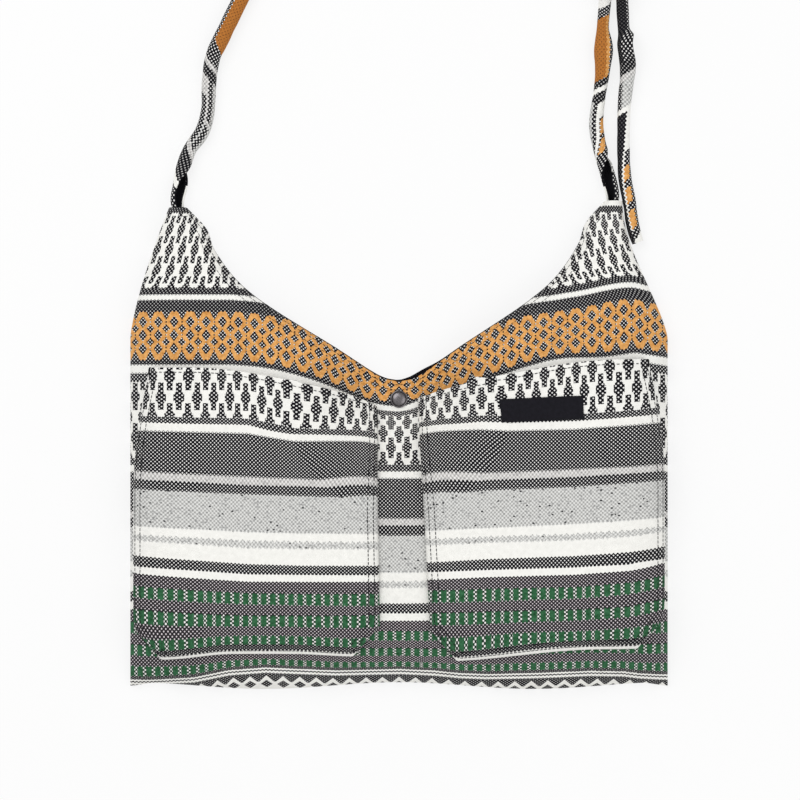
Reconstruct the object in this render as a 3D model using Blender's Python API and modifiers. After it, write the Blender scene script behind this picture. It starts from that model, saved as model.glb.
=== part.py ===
"""A shoulder bag of striped rug cloth, laid on its back with its mouth towards +Y.

The front panel crowns up from a flat back panel, and both are lined. Two patch pockets are sewn
to the front, a snap closes the mouth, and the two curled straps are tied in a reef knot.
Sizes are in metres. The shapes are worked out with the base seam at Y = 0 and the floor at Z = 0,
and an empty then puts the origin at the middle of the back panel, where the bag rests.
"""

import math

import bpy
import numpy as np
from mathutils.bvhtree import BVHTree

LEFT = -1
RIGHT = 1

# Cloth and seams
CLOTH = 0.0014
LINING = 0.0005
STRAP_CLOTH = 0.0012
SEAM_GAP = 0.0003
LEAN = 0.0012
FLOOR_GAP = 0.0001

# Height of the frame's origin over the base seam
REST_HEIGHT = 0.120

# Bag outline
HALF_WIDTH = 0.2025
MOUTH_HEIGHT = 0.229
SHOULDER_ABOVE_MOUTH = 0.033
SHOULDER_HEIGHT = MOUTH_HEIGHT + SHOULDER_ABOVE_MOUTH
LEFT_TIP_INSET = 0.036
LEFT_TIP_REACH = HALF_WIDTH - LEFT_TIP_INSET
LEFT_TIP_HEIGHT = 0.360
RIGHT_TIP_INSET = 0.041
RIGHT_TIP_REACH = HALF_WIDTH - RIGHT_TIP_INSET
RIGHT_TIP_HEIGHT = 0.365
LEFT_HORN_BEND = 0.0
RIGHT_HORN_BEND = 1.0
TIP_WIDTH = 0.0138
BEYOND_TIP = 0.05
BASE_WAVE = 0.0025
BACK_RISE = 0.0045

# Crown of the front panel
CROWN = 0.036
HORN_CROWN = 0.0162
SIDE_ROUND = 0.055
BASE_ROUND = 0.050
MOUTH_ROUND = 0.045
MOUTH_GAPE = 0.016
NARROWING_HEIGHT = MOUTH_HEIGHT - 0.009
CLOSING_HEIGHT = MOUTH_HEIGHT - 0.029
SNAP_DIMPLE = 0.070

# Folds of the front panel
HORN_FOLD = 0.0013
BASE_FOLD = 0.0012
SLUMP = 0.0016

# Snap
SNAP_BELOW_MOUTH = 0.013
SNAP_HEIGHT = MOUTH_HEIGHT - SNAP_BELOW_MOUTH
CAP_RADIUS = 0.0066
CAP_DOME = 0.0022
POST_RADIUS = 0.0017
SOCKET_RADIUS = 0.0054
STUD_RADIUS = 0.0050
KNOB_RADIUS = 0.0026
KNOB_HEIGHT = 0.0022
PLATE = 0.0005
FLANGE = 0.0006
POST_CLEARANCE = 0.0004

# Patch pockets
LEFT_POCKET_FOOT_REACH = 0.0143
LEFT_POCKET_MOUTH_REACH = 0.0170
RIGHT_POCKET_FOOT_REACH = 0.0232
RIGHT_POCKET_MOUTH_REACH = 0.0143
POCKET_SIDE_GAP = 0.006
POCKET_OUTER_REACH = HALF_WIDTH - POCKET_SIDE_GAP
POCKET_TAPER = 0.0125
POCKET_FOOT = 0.027
LEFT_POCKET_MOUTH = 0.2103
RIGHT_POCKET_MOUTH = 0.2165
POCKET_MOUTH_RISE = 0.029
POCKET_CORNER_WIDTH = 0.020
POCKET_CORNER_HEIGHT = 0.022
TACK_SHARE = 0.992
POCKET_GAPE = 0.0075
POCKET_ROUND = 0.024
POCKET_SEAT = 0.0013
HEM_WIDTH = 0.009
HEM_PLY = 0.0007
TACK_LENGTH = 0.0050
TACK_WIDTH = 0.0022

# Label
LABEL_WIDTH = 0.0595
LABEL_HEIGHT = 0.0175
LABEL_PLY = 0.0007
LABEL_REACH = 0.1075
LABEL_BELOW_MOUTH = 0.008
LABEL_RISE = RIGHT_POCKET_MOUTH - LABEL_BELOW_MOUTH
LABEL_TURN = math.radians(2.5)
PATCH_LIFT = 0.0001

# Straps
STRAP_WIDTH = 0.025
STRAP_ROLL = 0.0050
FACING_GAP = 0.0005
KNOT_ROLL = 0.0047
KNOT_GAP = 0.0005
KNOT_ABOVE_TIP = 0.185
ARCH_ABOVE_TIP = 0.305
TUCK = 0.009
TUCK_LEAN = 0.0018
TUCK_ROLL = 0.0036

# Lining: the share of the panel that it leaves bare in each horn, and its slack away from the snap
LINING_HORN = 0.10
LINING_SLACK = 0.0012

# Facets
TIP_SHARE = 0.93
TIP_COLUMNS = 4
MOUTH_COLUMNS = 8
SNAP_COLUMN = 0.036
STRIP_POINTS = 5

# Heights of the layers at the snap
BACK_TOP = CLOTH
PLATE_FOOT = BACK_TOP + SEAM_GAP
LINING_FOOT = PLATE_FOOT + PLATE + SEAM_GAP
LINING_TOP = LINING_FOOT + LINING
FLANGE_FOOT = LINING_TOP + SEAM_GAP
KNOB_TOP = FLANGE_FOOT + FLANGE + KNOB_HEIGHT
SOCKET_FOOT = FLANGE_FOOT + FLANGE + SEAM_GAP
SOCKET_TOP = KNOB_TOP + SEAM_GAP + PLATE
FRONT_LINING_FOOT = SOCKET_TOP + SEAM_GAP
FRONT_FOOT = FRONT_LINING_FOOT + LINING + SEAM_GAP
SNAP_TOP = FRONT_FOOT + CLOTH
PANEL_SEAT = BACK_TOP + SEAM_GAP + LEAN

# Rows of the panel's grid, close together where the cloth turns under at the base
PANEL_ROWS = np.array(
    (0.0, 0.02, 0.05, 0.09, 0.15, 0.22, 0.31, 0.40, 0.49, 0.58, 0.67, 0.76, 0.84, 0.91, 0.957, 0.984, 1.0)
)

# The mouth's edge from its lowest point to a horn, as shares of reach and rise
MOUTH_SHAPE = (
    (0.00, 0.000),
    (0.10, 0.035),
    (0.31, 0.200),
    (0.60, 0.420),
    (0.76, 0.575),
    (0.87, 0.755),
    (0.91, 0.880),
    (1.00, 1.000),
)


def tip(side):
    """Reach from the middle line and height above the base of a horn's tip."""
    if side == LEFT:
        return LEFT_TIP_REACH, LEFT_TIP_HEIGHT
    return RIGHT_TIP_REACH, RIGHT_TIP_HEIGHT


def smooth_curve(points, samples=24):
    """Dense points of a Catmull-Rom curve through the given rows of numbers."""
    rows = np.asarray(points, float)
    padded = np.vstack([2 * rows[0] - rows[1], rows, 2 * rows[-1] - rows[-2]])
    spans = []
    for index in range(len(rows) - 1):
        before, start, end, after = padded[index:index + 4]
        t = np.linspace(0, 1, samples, endpoint=False)[:, None]
        spans.append(
            start
            + 0.5 * t * (end - before)
            + t ** 2 * (before - 2.5 * start + 2 * end - 0.5 * after)
            + t ** 3 * (1.5 * (start - end) + 0.5 * (after - before))
        )
    return np.vstack(spans + [rows[-1:]])


def along(curve, shares):
    """Points at shares of a dense curve's length."""
    steps = np.linalg.norm(np.diff(curve[:, :2], axis=0), axis=1)
    length = np.concatenate([[0], np.cumsum(steps)])
    shares = np.asarray(shares, float) * length[-1]
    return np.column_stack([np.interp(shares, length, curve[:, k]) for k in range(curve.shape[1])])


def ease(t):
    """A smooth step from 0 to 1."""
    t = np.clip(t, 0, 1)
    return t * t * (3 - 2 * t)


def quarter(t):
    """A quarter round from 0 to 1."""
    return np.sqrt(np.clip(1 - (1 - np.clip(t, 0, 1)) ** 2, 0, 1))


def mouth_edge(side, rise=0.0):
    """Dense points of one side of the mouth's edge, from the middle to the horn's inner corner."""
    reach, height = tip(side)
    foot = MOUTH_HEIGHT + rise
    shape = smooth_curve(MOUTH_SHAPE)
    across = (reach - TIP_WIDTH / 2) * shape[:, 0]
    up = foot + (height - foot) * shape[:, 1]
    return np.column_stack([across, up])


def side_edge(side, heights):
    """Reach of the bag's side seam at the given heights."""
    reach, height = tip(side)
    share = np.clip((heights - SHOULDER_HEIGHT) / (height - SHOULDER_HEIGHT), 0, 1)
    bend = LEFT_HORN_BEND if side == LEFT else RIGHT_HORN_BEND
    lean = (1 - bend) * share ** 1.35 + bend * np.sin(math.pi / 2 * share ** 1.3)
    return HALF_WIDTH - (HALF_WIDTH - reach - TIP_WIDTH / 2) * lean


def base_edge(x):
    """Height of the wavy base seam."""
    return BASE_WAVE * np.cos(2 * math.pi * x / HALF_WIDTH) * ease((HALF_WIDTH - abs(x)) / 0.02)


def edge_distances(x, y):
    """Distances in plan from the side seam, the base seam and the mouth, and the share of reach."""
    result = []
    for side in (LEFT, RIGHT):
        reach, height = tip(side)
        out = side * x
        edge = mouth_edge(side)
        corner = reach - TIP_WIDTH / 2
        reaches = np.append(edge[:, 0], corner + BEYOND_TIP)
        level = np.interp(out, reaches, np.append(edge[:, 1], height + 1.0))
        inward = np.interp(y, np.append(MOUTH_HEIGHT - 0.001, edge[:, 1]), np.append(-1.0, edge[:, 0]))
        above = np.maximum(level - y, 0)
        beside = np.maximum(out - inward, 0)
        mouth = above * beside / np.maximum(np.hypot(above, beside), 1e-9)
        seam = np.maximum(side_edge(side, y) - out, 0)
        result.append((seam, mouth, np.clip(out / corner, 0, 1), height))
    right = x > 0
    seam, mouth, share, height = (np.where(right, b, a) for a, b in zip(*result))
    return seam, np.maximum(y - base_edge(x), 0), mouth, share, height


def folds(x, y):
    """Soft folds of the front: gathers from the horns, waves at the base and a slump in the middle."""
    total = BASE_FOLD * np.cos(4 * math.pi * x / HALF_WIDTH) * np.exp(-(y / 0.045) ** 2)
    total = total - SLUMP * np.exp(-(x / 0.045) ** 2) * ease((SNAP_HEIGHT - y) / 0.05)
    for side in (LEFT, RIGHT):
        reach, height = tip(side)
        across = side * x - reach
        down = np.maximum(height - y, 1e-6)
        angle = np.arctan2(across, down)
        radius = np.hypot(across, down)
        total = total + HORN_FOLD * np.cos(11 * angle + 0.6) * np.exp(-((radius - 0.085) / 0.045) ** 2)
    return total


def crown(x, y):
    """Height of the front panel's outer face over the floor at points in plan."""
    seam, base, mouth, share, height = edge_distances(x, y)
    narrowing = ease((y - NARROWING_HEIGHT) / (height - NARROWING_HEIGHT))
    depth = CROWN + (HORN_CROWN - CROWN) * narrowing
    closing = ease((y - CLOSING_HEIGHT) / (height - CLOSING_HEIGHT))
    side_round = SIDE_ROUND + (TIP_WIDTH / 2 - SIDE_ROUND) * closing
    mouth_round = MOUTH_ROUND + (TIP_WIDTH / 2 - MOUTH_ROUND) * closing
    gape = MOUTH_GAPE * np.sin(math.pi * np.clip(share / 0.92, 0, 1)) + SNAP_TOP * (1 - ease(share / 0.5))
    lip = np.clip(gape / depth, 0, 1)
    swell = quarter(seam / side_round) * quarter(base / BASE_ROUND)
    raw = depth * swell * (lip + (1 - lip) * quarter(mouth / mouth_round))
    raw = raw + folds(x, y) * ease(raw / 0.02)
    radius = np.hypot(x, y - SNAP_HEIGHT)
    free = ease((radius - 2.2 * CAP_RADIUS) / SNAP_DIMPLE)
    pressed = SNAP_TOP - PANEL_SEAT
    return PANEL_SEAT + pressed + (raw - pressed) * free


def crown_normal(x, y, step=0.0004):
    """Unit normals of the front's outer face; at the seams they point level and outwards."""
    slope_x = (crown(x + step, y) - crown(x - step, y)) / (2 * step)
    slope_y = (crown(x, y + step) - crown(x, y - step)) / (2 * step)
    normal = np.stack([-slope_x, -slope_y, np.ones_like(x)], axis=-1)
    return normal / np.linalg.norm(normal, axis=-1, keepdims=True)


def panel_plan(columns, rows, rise=0.0):
    """Plan points of a grid that fills the outline between base, side seams, mouth and horns.

    The grid is a Coons patch: columns run from the base to the mouth, rows from seam to seam.
    Columns are shares from -1 to 1, rows a table of shares from 0 to 1 for each column.
    """
    u = np.asarray(columns, float)
    v = np.broadcast_to(rows, (len(u), np.shape(rows)[-1]))[..., None]
    top = np.zeros((len(u), 2))
    for side in (LEFT, RIGHT):
        own = u < 0 if side == LEFT else u >= 0
        edge = along(mouth_edge(side, rise), np.minimum(abs(u[own]) / TIP_SHARE, 1))
        beyond = np.clip((abs(u[own]) - TIP_SHARE) / (1 - TIP_SHARE), 0, 1) * TIP_WIDTH
        top[own] = np.column_stack([side * (edge[:, 0] + beyond), edge[:, 1]])
    foot = np.column_stack([HALF_WIDTH * u, base_edge(HALF_WIDTH * u)])[:, None]
    patch = (1 - v) * foot + v * top[:, None]
    for side in (LEFT, RIGHT):
        weight = ((1 + side * u) / 2)[:, None, None]
        height = tip(side)[1]
        seam = np.concatenate([side * side_edge(side, v * height), v * height], axis=-1)
        foot_corner = np.array([side * HALF_WIDTH, 0.0])
        top_corner = np.array([side * side_edge(side, height), height])
        patch = patch + weight * (seam - (1 - v) * foot_corner - v * top_corner)
    return patch


def panel_columns():
    """Column shares: close together beside the seams and the snap, even along the mouth."""
    near = 1 - (1 - TIP_SHARE) * np.sin(np.linspace(0, math.pi / 2, TIP_COLUMNS + 1)) ** 2
    even = np.linspace(TIP_SHARE, 0, MOUTH_COLUMNS + 1)[1:-1]
    half = np.concatenate([near, even, [SNAP_COLUMN, 0.0]])
    return np.concatenate([-half, half[::-1][1:]])


def sheet_faces(columns, rows):
    """Triangles that join the rows and columns of a grid, wound to face upwards."""
    index = np.arange(columns * rows).reshape(columns, rows)
    a, b, c, d = index[:-1, :-1], index[1:, :-1], index[1:, 1:], index[:-1, 1:]
    halves = np.stack([np.stack([a, b, c], -1), np.stack([a, c, d], -1)], axis=2)
    return halves.reshape(-1, 3).tolist()


def grid_object(name, points, material):
    """A part whose faces join the rows and columns of an array of points."""
    mesh = bpy.data.meshes.new(name)
    mesh.from_pydata(points.reshape(-1, 3).tolist(), [], sheet_faces(*points.shape[:2]))
    return finish_mesh(name, mesh, material)


def finish_mesh(name, mesh, material):
    """Link a mesh as a smooth-shaded part with its material."""
    mesh.shade_smooth()
    mesh.set_sharp_from_angle(angle=math.radians(40))
    mesh.materials.append(material)
    part = bpy.data.objects.new(name, mesh)
    parts.objects.link(part)
    return part


def add_ply(part, thickness):
    """Give a sheet its thickness, inwards from the modelled face."""
    ply = part.modifiers.new("Ply", "SOLIDIFY")
    ply.thickness = thickness
    ply.offset = -1
    ply.use_even_offset = False
    return part


def pierce(part, cutter):
    """Cut a stamped hole through a ply."""
    hole = part.modifiers.new("Hole", "BOOLEAN")
    hole.operation = "DIFFERENCE"
    hole.object = cutter
    hole.solver = "EXACT"
    return part


def cylinder_between(name, radius, foot, top, x=0.0, y=SNAP_HEIGHT, vertices=16):
    """A round bar on the snap's axis, in no collection of its own yet."""
    bpy.ops.mesh.primitive_cylinder_add(
        vertices=vertices, radius=radius, depth=top - foot, location=(x, y, (foot + top) / 2)
    )
    bar = bpy.context.object
    bar.name = name
    for collection in bar.users_collection:
        collection.objects.unlink(bar)
    return bar


def turned(name, profile, material, steps=14):
    """A turned piece on the snap's axis, from a profile of radius and height, top to bottom."""
    mesh = bpy.data.meshes.new(name)
    points = [(radius, 0, height) for radius, height in profile]
    edges = [(index, index + 1) for index in range(len(points) - 1)]
    mesh.from_pydata(points, edges, [])
    piece = finish_mesh(name, mesh, material)
    piece.location = (0, SNAP_HEIGHT, 0)
    lathe = piece.modifiers.new("Lathe", "SCREW")
    lathe.steps = steps
    lathe.render_steps = steps
    lathe.use_merge_vertices = True
    lathe.merge_threshold = 0.00001
    return piece


def flat_cut(name, outlines, foot, thickness, material):
    """A flat cut of cloth from a 2D curve: an outline, and any hole in it."""
    curve = bpy.data.curves.new(name, "CURVE")
    curve.dimensions = "2D"
    curve.fill_mode = "BOTH"
    curve.extrude = thickness / 2
    for outline in outlines:
        spline = curve.splines.new("POLY")
        spline.points.add(len(outline) - 1)
        for point, (x, y) in zip(spline.points, outline):
            point.co = (x, y, 0, 1)
        spline.use_cyclic_u = True
    curve.materials.append(material)
    part = bpy.data.objects.new(name, curve)
    part.location.z = foot + thickness / 2
    parts.objects.link(part)
    return part


def principled(name, colour, roughness, metallic=0.0):
    """A material of one Principled BSDF."""
    material = bpy.data.materials.new(name)
    material.use_nodes = True
    shader = material.node_tree.nodes["Principled BSDF"]
    shader.inputs["Base Color"].default_value = (*colour, 1.0)
    shader.inputs["Roughness"].default_value = roughness
    shader.inputs["Metallic"].default_value = metallic
    return material


def striped(name, start, bands):
    """Rug cloth with flat bands of colour across it, each given by its upper edge and colour."""
    material = principled(name, bands[0][1], 0.92)
    tree = material.node_tree
    coordinate = tree.nodes.new("ShaderNodeTexCoord")
    split = tree.nodes.new("ShaderNodeSeparateXYZ")
    span = tree.nodes.new("ShaderNodeMapRange")
    ramp = tree.nodes.new("ShaderNodeValToRGB")
    top = bands[-1][0]
    span.inputs["From Min"].default_value = start
    span.inputs["From Max"].default_value = top
    ramp.color_ramp.interpolation = "CONSTANT"
    lower = start
    for number, (upper, colour) in enumerate(bands):
        stops = ramp.color_ramp.elements
        stop = stops[0] if number == 0 else stops.new((lower - start) / (top - start))
        stop.color = (*colour, 1.0)
        lower = upper
    stops.remove(stops[len(stops) - 1])
    tree.links.new(coordinate.outputs["Object"], split.inputs["Vector"])
    tree.links.new(split.outputs["Y"], span.inputs["Value"])
    tree.links.new(span.outputs["Result"], ramp.inputs["Fac"])
    tree.links.new(ramp.outputs["Color"], tree.nodes["Principled BSDF"].inputs["Base Color"])
    return material


class Ground:
    """The faceted outer face of a sheet, which the next piece is laid on."""

    def __init__(self, points):
        self.tree = BVHTree.FromPolygons(points.reshape(-1, 3).tolist(), sheet_faces(*points.shape[:2]))

    def height(self, x, y):
        """Height of the facets below points in plan."""
        hits = [self.tree.ray_cast((px, py, 1.0), (0, 0, -1))[0] for px, py in zip(x.ravel(), y.ravel())]
        return np.array([hit.z if hit else PANEL_SEAT for hit in hits]).reshape(x.shape)

    def lifted(self, x, y, offset):
        """Points off the facets by a distance along the crown's normals."""
        points = np.stack([x, y, self.height(x, y)], axis=-1)
        return points + crown_normal(x, y) * np.broadcast_to(offset, x.shape)[..., None]


def outline_of(plan):
    """The closed boundary of a grid of plan points."""
    return np.concatenate([plan[:, 0], plan[-1, 1:], plan[::-1, -1][1:], plan[0, ::-1][1:-1]])


def lining_plan(inset, rise=0.0, short=0.0):
    """Plan points of a lining: the panel's grid, some columns in from the seams, short of the horns."""
    columns = panel_columns()[inset:-inset]
    bare = LINING_HORN * ease((abs(columns) - 0.6) / 0.33)[:, None] * ease((PANEL_ROWS[1:] - 0.5) / 0.5)
    return panel_plan(columns, PANEL_ROWS[1:] * (1 - bare - short), rise)


def make_front(cloth, lining):
    """Front panel and its lining, with the snap's hole through both."""
    plan = panel_plan(panel_columns(), PANEL_ROWS)
    x, y = plan[..., 0], plan[..., 1]
    outer = np.dstack([x, y, crown(x, y)])
    front = add_ply(grid_object("front_panel", outer, cloth), CLOTH)
    ground = Ground(outer)
    plan = lining_plan(1)
    x, y = plan[..., 0], plan[..., 1]
    loose = LINING_SLACK * ease((np.hypot(x, y - SNAP_HEIGHT) - 3 * CAP_RADIUS) / SNAP_DIMPLE)
    inner = ground.lifted(x, y, -(CLOTH + SEAM_GAP + loose))
    inner[..., 2] = np.maximum(inner[..., 2], LINING_TOP + LINING + SEAM_GAP + LEAN)
    backing = add_ply(grid_object("front_lining", inner, lining), LINING)
    cutter = cylinder_between("post_hole", POST_RADIUS + POST_CLEARANCE, SOCKET_TOP, SNAP_TOP + CLOTH)
    cutter.hide_render = True
    cutter.display_type = "WIRE"
    cutters.objects.link(cutter)
    pierce(front, cutter)
    pierce(backing, cutter)
    return ground


def make_back(cloth, lining):
    """Flat back panel and its lining, which has a hole for the stud's post."""
    plan = panel_plan(panel_columns(), PANEL_ROWS, BACK_RISE)
    flat_cut("back_panel", [outline_of(plan)], 0.0, CLOTH, cloth)
    turn = np.linspace(0, 2 * math.pi, 16, endpoint=False)
    hole = (POST_RADIUS + POST_CLEARANCE) * np.column_stack([np.cos(turn), np.sin(turn)]) + (0, SNAP_HEIGHT)
    outline = outline_of(lining_plan(2, BACK_RISE, 0.004))
    flat_cut("back_lining", [outline, hole], LINING_FOOT, LINING, lining)


def make_snap(metal):
    """The snap: cap and socket on the front, stud and its plate on the back lining."""
    foot = SNAP_TOP + SEAM_GAP
    rim = CAP_RADIUS
    cap = [
        (0, foot + CAP_DOME), (0.45 * rim, foot + 0.92 * CAP_DOME), (0.72 * rim, foot + 0.66 * CAP_DOME),
        (0.80 * rim, foot + 0.48 * CAP_DOME), (0.90 * rim, foot + 0.58 * CAP_DOME),
        (rim, foot + 0.30 * CAP_DOME), (0.97 * rim, foot), (POST_RADIUS, foot),
        (POST_RADIUS, SOCKET_TOP + SEAM_GAP), (0, SOCKET_TOP + SEAM_GAP),
    ]
    turned("snap_cap", cap, metal)
    bore = KNOB_RADIUS + POST_CLEARANCE
    roof = SOCKET_TOP - PLATE
    socket = [
        (0, SOCKET_TOP), (0.9 * SOCKET_RADIUS, SOCKET_TOP), (SOCKET_RADIUS, roof),
        (SOCKET_RADIUS, SOCKET_FOOT), (bore, SOCKET_FOOT), (bore, roof), (0, roof),
    ]
    turned("snap_socket", socket, metal)
    neck = 0.8 * KNOB_RADIUS
    shoulder = FLANGE_FOOT + FLANGE
    stud = [
        (0, KNOB_TOP), (0.8 * KNOB_RADIUS, KNOB_TOP), (KNOB_RADIUS, KNOB_TOP - 0.3 * KNOB_HEIGHT),
        (neck, KNOB_TOP - 0.7 * KNOB_HEIGHT), (neck, shoulder), (STUD_RADIUS, shoulder),
        (STUD_RADIUS, FLANGE_FOOT), (POST_RADIUS, FLANGE_FOOT),
        (POST_RADIUS, PLATE_FOOT + PLATE + SEAM_GAP), (0, PLATE_FOOT + PLATE + SEAM_GAP),
    ]
    turned("snap_stud", stud, metal)
    plate = cylinder_between("snap_stud_plate", 0.9 * STUD_RADIUS, PLATE_FOOT, PLATE_FOOT + PLATE)
    plate.data.materials.append(metal)
    parts.objects.link(plate)


class Pocket:
    """A patch pocket: its outline in plan, and how far it stands off the front panel."""

    def __init__(self, side):
        self.side = side
        left = side == LEFT
        self.name = "left_pocket" if left else "right_pocket"
        self.foot_reach = LEFT_POCKET_FOOT_REACH if left else RIGHT_POCKET_FOOT_REACH
        self.mouth_reach = LEFT_POCKET_MOUTH_REACH if left else RIGHT_POCKET_MOUTH_REACH
        self.mouth_height = LEFT_POCKET_MOUTH if left else RIGHT_POCKET_MOUTH

    def inner_edge(self, up):
        """Reach of the edge beside the middle line, at a share of the height."""
        return self.foot_reach + (self.mouth_reach - self.foot_reach) * up

    def outer_edge(self, up):
        """Reach of the edge beside the side seam, at a share of the height."""
        return POCKET_OUTER_REACH - POCKET_TAPER * np.clip((up - 0.5) / 0.5, 0, 1) ** 2

    def mouth_line(self, across):
        """Height of the mouth at a share of the width, rising away from the middle line."""
        return self.mouth_height + POCKET_MOUTH_RISE * (1 - (1 - across) ** 2.2)

    def foot_line(self, across):
        """Height of the foot at a share of the width, with its two corners cut off."""
        cut = POCKET_CORNER_WIDTH / (POCKET_OUTER_REACH - self.foot_reach)
        nearest = np.minimum(across, 1 - across)
        return POCKET_FOOT + POCKET_CORNER_HEIGHT * np.clip(1 - nearest / cut, 0, 1)

    def plan(self, across, up):
        """Plan places at shares of the width and the height."""
        foot = self.foot_line(across)
        y = foot + (self.mouth_line(across) - foot) * up
        inner = self.inner_edge(up)
        return self.side * (inner + (self.outer_edge(up) - inner) * across), y

    def stand_off(self, across, up):
        """Distance of the pocket's outer face from the front panel at shares of its outline."""
        width = POCKET_OUTER_REACH - self.foot_reach
        tall = self.mouth_line(across) - self.foot_line(across)
        sides = quarter(across * width / POCKET_ROUND) * quarter((1 - across) * width / POCKET_ROUND)
        swell = POCKET_GAPE * sides * quarter(up * tall / POCKET_ROUND)
        hem = HEM_PLY * ease((HEM_WIDTH + HEM_PLY - (1 - up) * tall) / (2 * HEM_PLY))
        return POCKET_SEAT + CLOTH + swell + hem

    def make(self, ground, cloth):
        """Lay the pocket on the front panel and return its own outer face."""
        hem = HEM_WIDTH / (self.mouth_height - POCKET_FOOT)
        rises = (0, 0.03, 0.08, 0.15, 0.26, 0.39, 0.49, 0.58, 0.67, 0.76, 0.85, 1 - hem - 0.02, 1 - hem, 1)
        up = np.array(rises)[None]
        shares = (0, 0.05, 0.12, 0.21, 0.34, 0.48, 0.61, 0.73, 0.82, 0.89, 0.94, 0.975, 1)
        across = np.array(shares)[:, None]
        x, y = self.plan(across, up)
        points = ground.lifted(x, y, self.stand_off(across, up))
        if self.side == LEFT:
            points = points[::-1]
        add_ply(grid_object(self.name, points, cloth), CLOTH)
        return Ground(points)

    def patch(self, ground, name, centre, size, ply, material, turn=0.0):
        """A small rectangle of cloth or thread laid on the pocket."""
        u = np.linspace(-0.5, 0.5, 7 if size[0] > LABEL_HEIGHT else 3)[:, None] * size[0]
        v = np.linspace(-0.5, 0.5, 3)[None] * size[1]
        x = centre[0] + u * math.cos(turn) - v * math.sin(turn)
        y = centre[1] + u * math.sin(turn) + v * math.cos(turn)
        add_ply(grid_object(name, ground.lifted(x, y, SEAM_GAP + PATCH_LIFT + ply), material), ply)


def make_pockets(ground, cloths, label, thread):
    """Both patch pockets, a bar tack at each outer mouth corner and the label."""
    for side in (LEFT, RIGHT):
        pocket = Pocket(side)
        face = pocket.make(ground, cloths[side])
        x, y = pocket.plan(TACK_SHARE, 1.0)
        centre = (x, y - 0.6 * TACK_LENGTH)
        pocket.patch(face, pocket.name + "_bartack", centre, (TACK_WIDTH, TACK_LENGTH), LABEL_PLY, thread)
        if side == RIGHT:
            size = (LABEL_WIDTH, LABEL_HEIGHT)
            pocket.patch(face, "label", (LABEL_REACH, LABEL_RISE), size, LABEL_PLY, label, LABEL_TURN)


# Half of one strand of the reef knot, from its legs to the middle of its bight:
# places along and across the knot, and level from -1, below, to 1, above. Units are strand pitches.
KNOT_HALF = (
    (5.60, 0.80, -1.00),
    (4.40, 0.72, -1.00),
    (3.55, 0.66, -0.15),
    (2.95, 0.62, 0.75),
    (2.30, 0.62, 1.00),
    (1.55, 0.72, 0.45),
    (0.95, 0.95, -0.45),
    (0.45, 1.15, -0.90),
    (0.00, 1.32, -1.00),
    (-0.50, 1.62, -0.85),
    (-1.05, 1.92, -0.25),
    (-1.70, 1.75, 0.55),
    (-2.15, 1.15, 0.95),
    (-2.35, 0.55, 1.00),
    (-2.40, 0.00, 1.00),
)

# Straps: steps right and up from the horn's tip, roll, turn of the patterned face in degrees, facet step
LEFT_RISE = (
    (-0.0004, 0.0045, 0.0039, 120, 0.008),
    (0.0015, 0.0160, 0.0047, 120, 0.007),
    (0.0040, 0.0300, 0.0050, 70, 0.006),
    (0.0090, 0.0440, 0.0050, 15, 0.006),
    (0.0180, 0.0570, 0.0056, 0, 0.007),
    (0.0225, 0.0730, 0.0053, 0, 0.010),
    (0.0235, 0.0950, 0.0055, 0, 0.013),
    (0.0262, 0.1130, 0.0058, 0, 0.013),
    (0.0330, 0.1280, 0.0062, 10, 0.013),
)
RIGHT_RISE = (
    (-0.0008, 0.0045, 0.0040, 180, 0.008),
    (-0.0038, 0.0180, 0.0047, 160, 0.006),
    (-0.0078, 0.0320, 0.0048, 80, 0.005),
    (-0.0115, 0.0460, 0.0053, 15, 0.006),
    (-0.0130, 0.0600, 0.0054, 0, 0.010),
    (-0.0108, 0.0780, 0.0049, 0, 0.010),
    (-0.0085, 0.0950, 0.0052, 0, 0.010),
    (-0.0075, 0.1150, 0.0066, 0, 0.010),
)
RIGHT_TAIL = (
    (0.0105, 0.1180, 0.0066, -40, 0.006),
    (0.0108, 0.0980, 0.0052, -25, 0.007),
    (0.0082, 0.0720, 0.0047, 0, 0.014),
    (0.0076, 0.0420, 0.0045, 0, 0.016),
    (0.0086, 0.0180, 0.0044, 0, 0.014),
    (0.0120, 0.0000, 0.0043, 0, 0.012),
    (0.0138, -0.0140, 0.0043, 0, 0.012),
    (0.0160, -0.0240, 0.0043, 0, 0.012),
    (0.0185, -0.0310, 0.0043, 0, 0.012),
)

# Arch of the left strap: shares of the way to the knot and of the arch's height
ARCH = (
    (0.075, 0.560),
    (0.180, 0.720),
    (0.330, 0.875),
    (0.517, 0.970),
    (0.680, 1.000),
    (0.830, 0.967),
    (0.935, 0.885),
)


def knot_rows(side):
    """One strand of the reef knot, from its standing leg to its tail, as rows of a strap's path."""
    half = np.array(KNOT_HALF)
    strand = np.vstack([half, half[::-1][1:] * (1, -1, 1)])
    if side == LEFT:
        strand = strand * (-1, 1, -1)
    pitch = 2 * KNOT_ROLL + KNOT_GAP
    x = RIGHT_TIP_REACH - pitch * strand[:, 1]
    y = RIGHT_TIP_HEIGHT + KNOT_ABOVE_TIP - pitch * strand[:, 0]
    lift = pitch * (1 + strand[:, 2]) / 2
    same = np.ones(len(strand))
    return np.column_stack([x, y, lift, KNOT_ROLL * same, 0 * same, 0.70 * pitch * same])


def strap_rows(side, table):
    """Rows of a strap's path from steps off its horn's tip: x, y, lift, roll, turn and facet step."""
    reach, height = tip(side)
    rows = [(side * reach + right, height + up, 0.0, *rest) for right, up, *rest in table]
    return np.array(rows)


def tucked(side, rows):
    """The path with its end pushed down between the plies of the horn."""
    reach, height = tip(side)
    lift = BACK_TOP + SEAM_GAP
    rows[0, 2] = lift
    start = rows[0].copy()
    start[:4] = (side * (reach - TUCK_LEAN), height - TUCK, lift, TUCK_ROLL)
    return np.vstack([start, rows])


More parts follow.
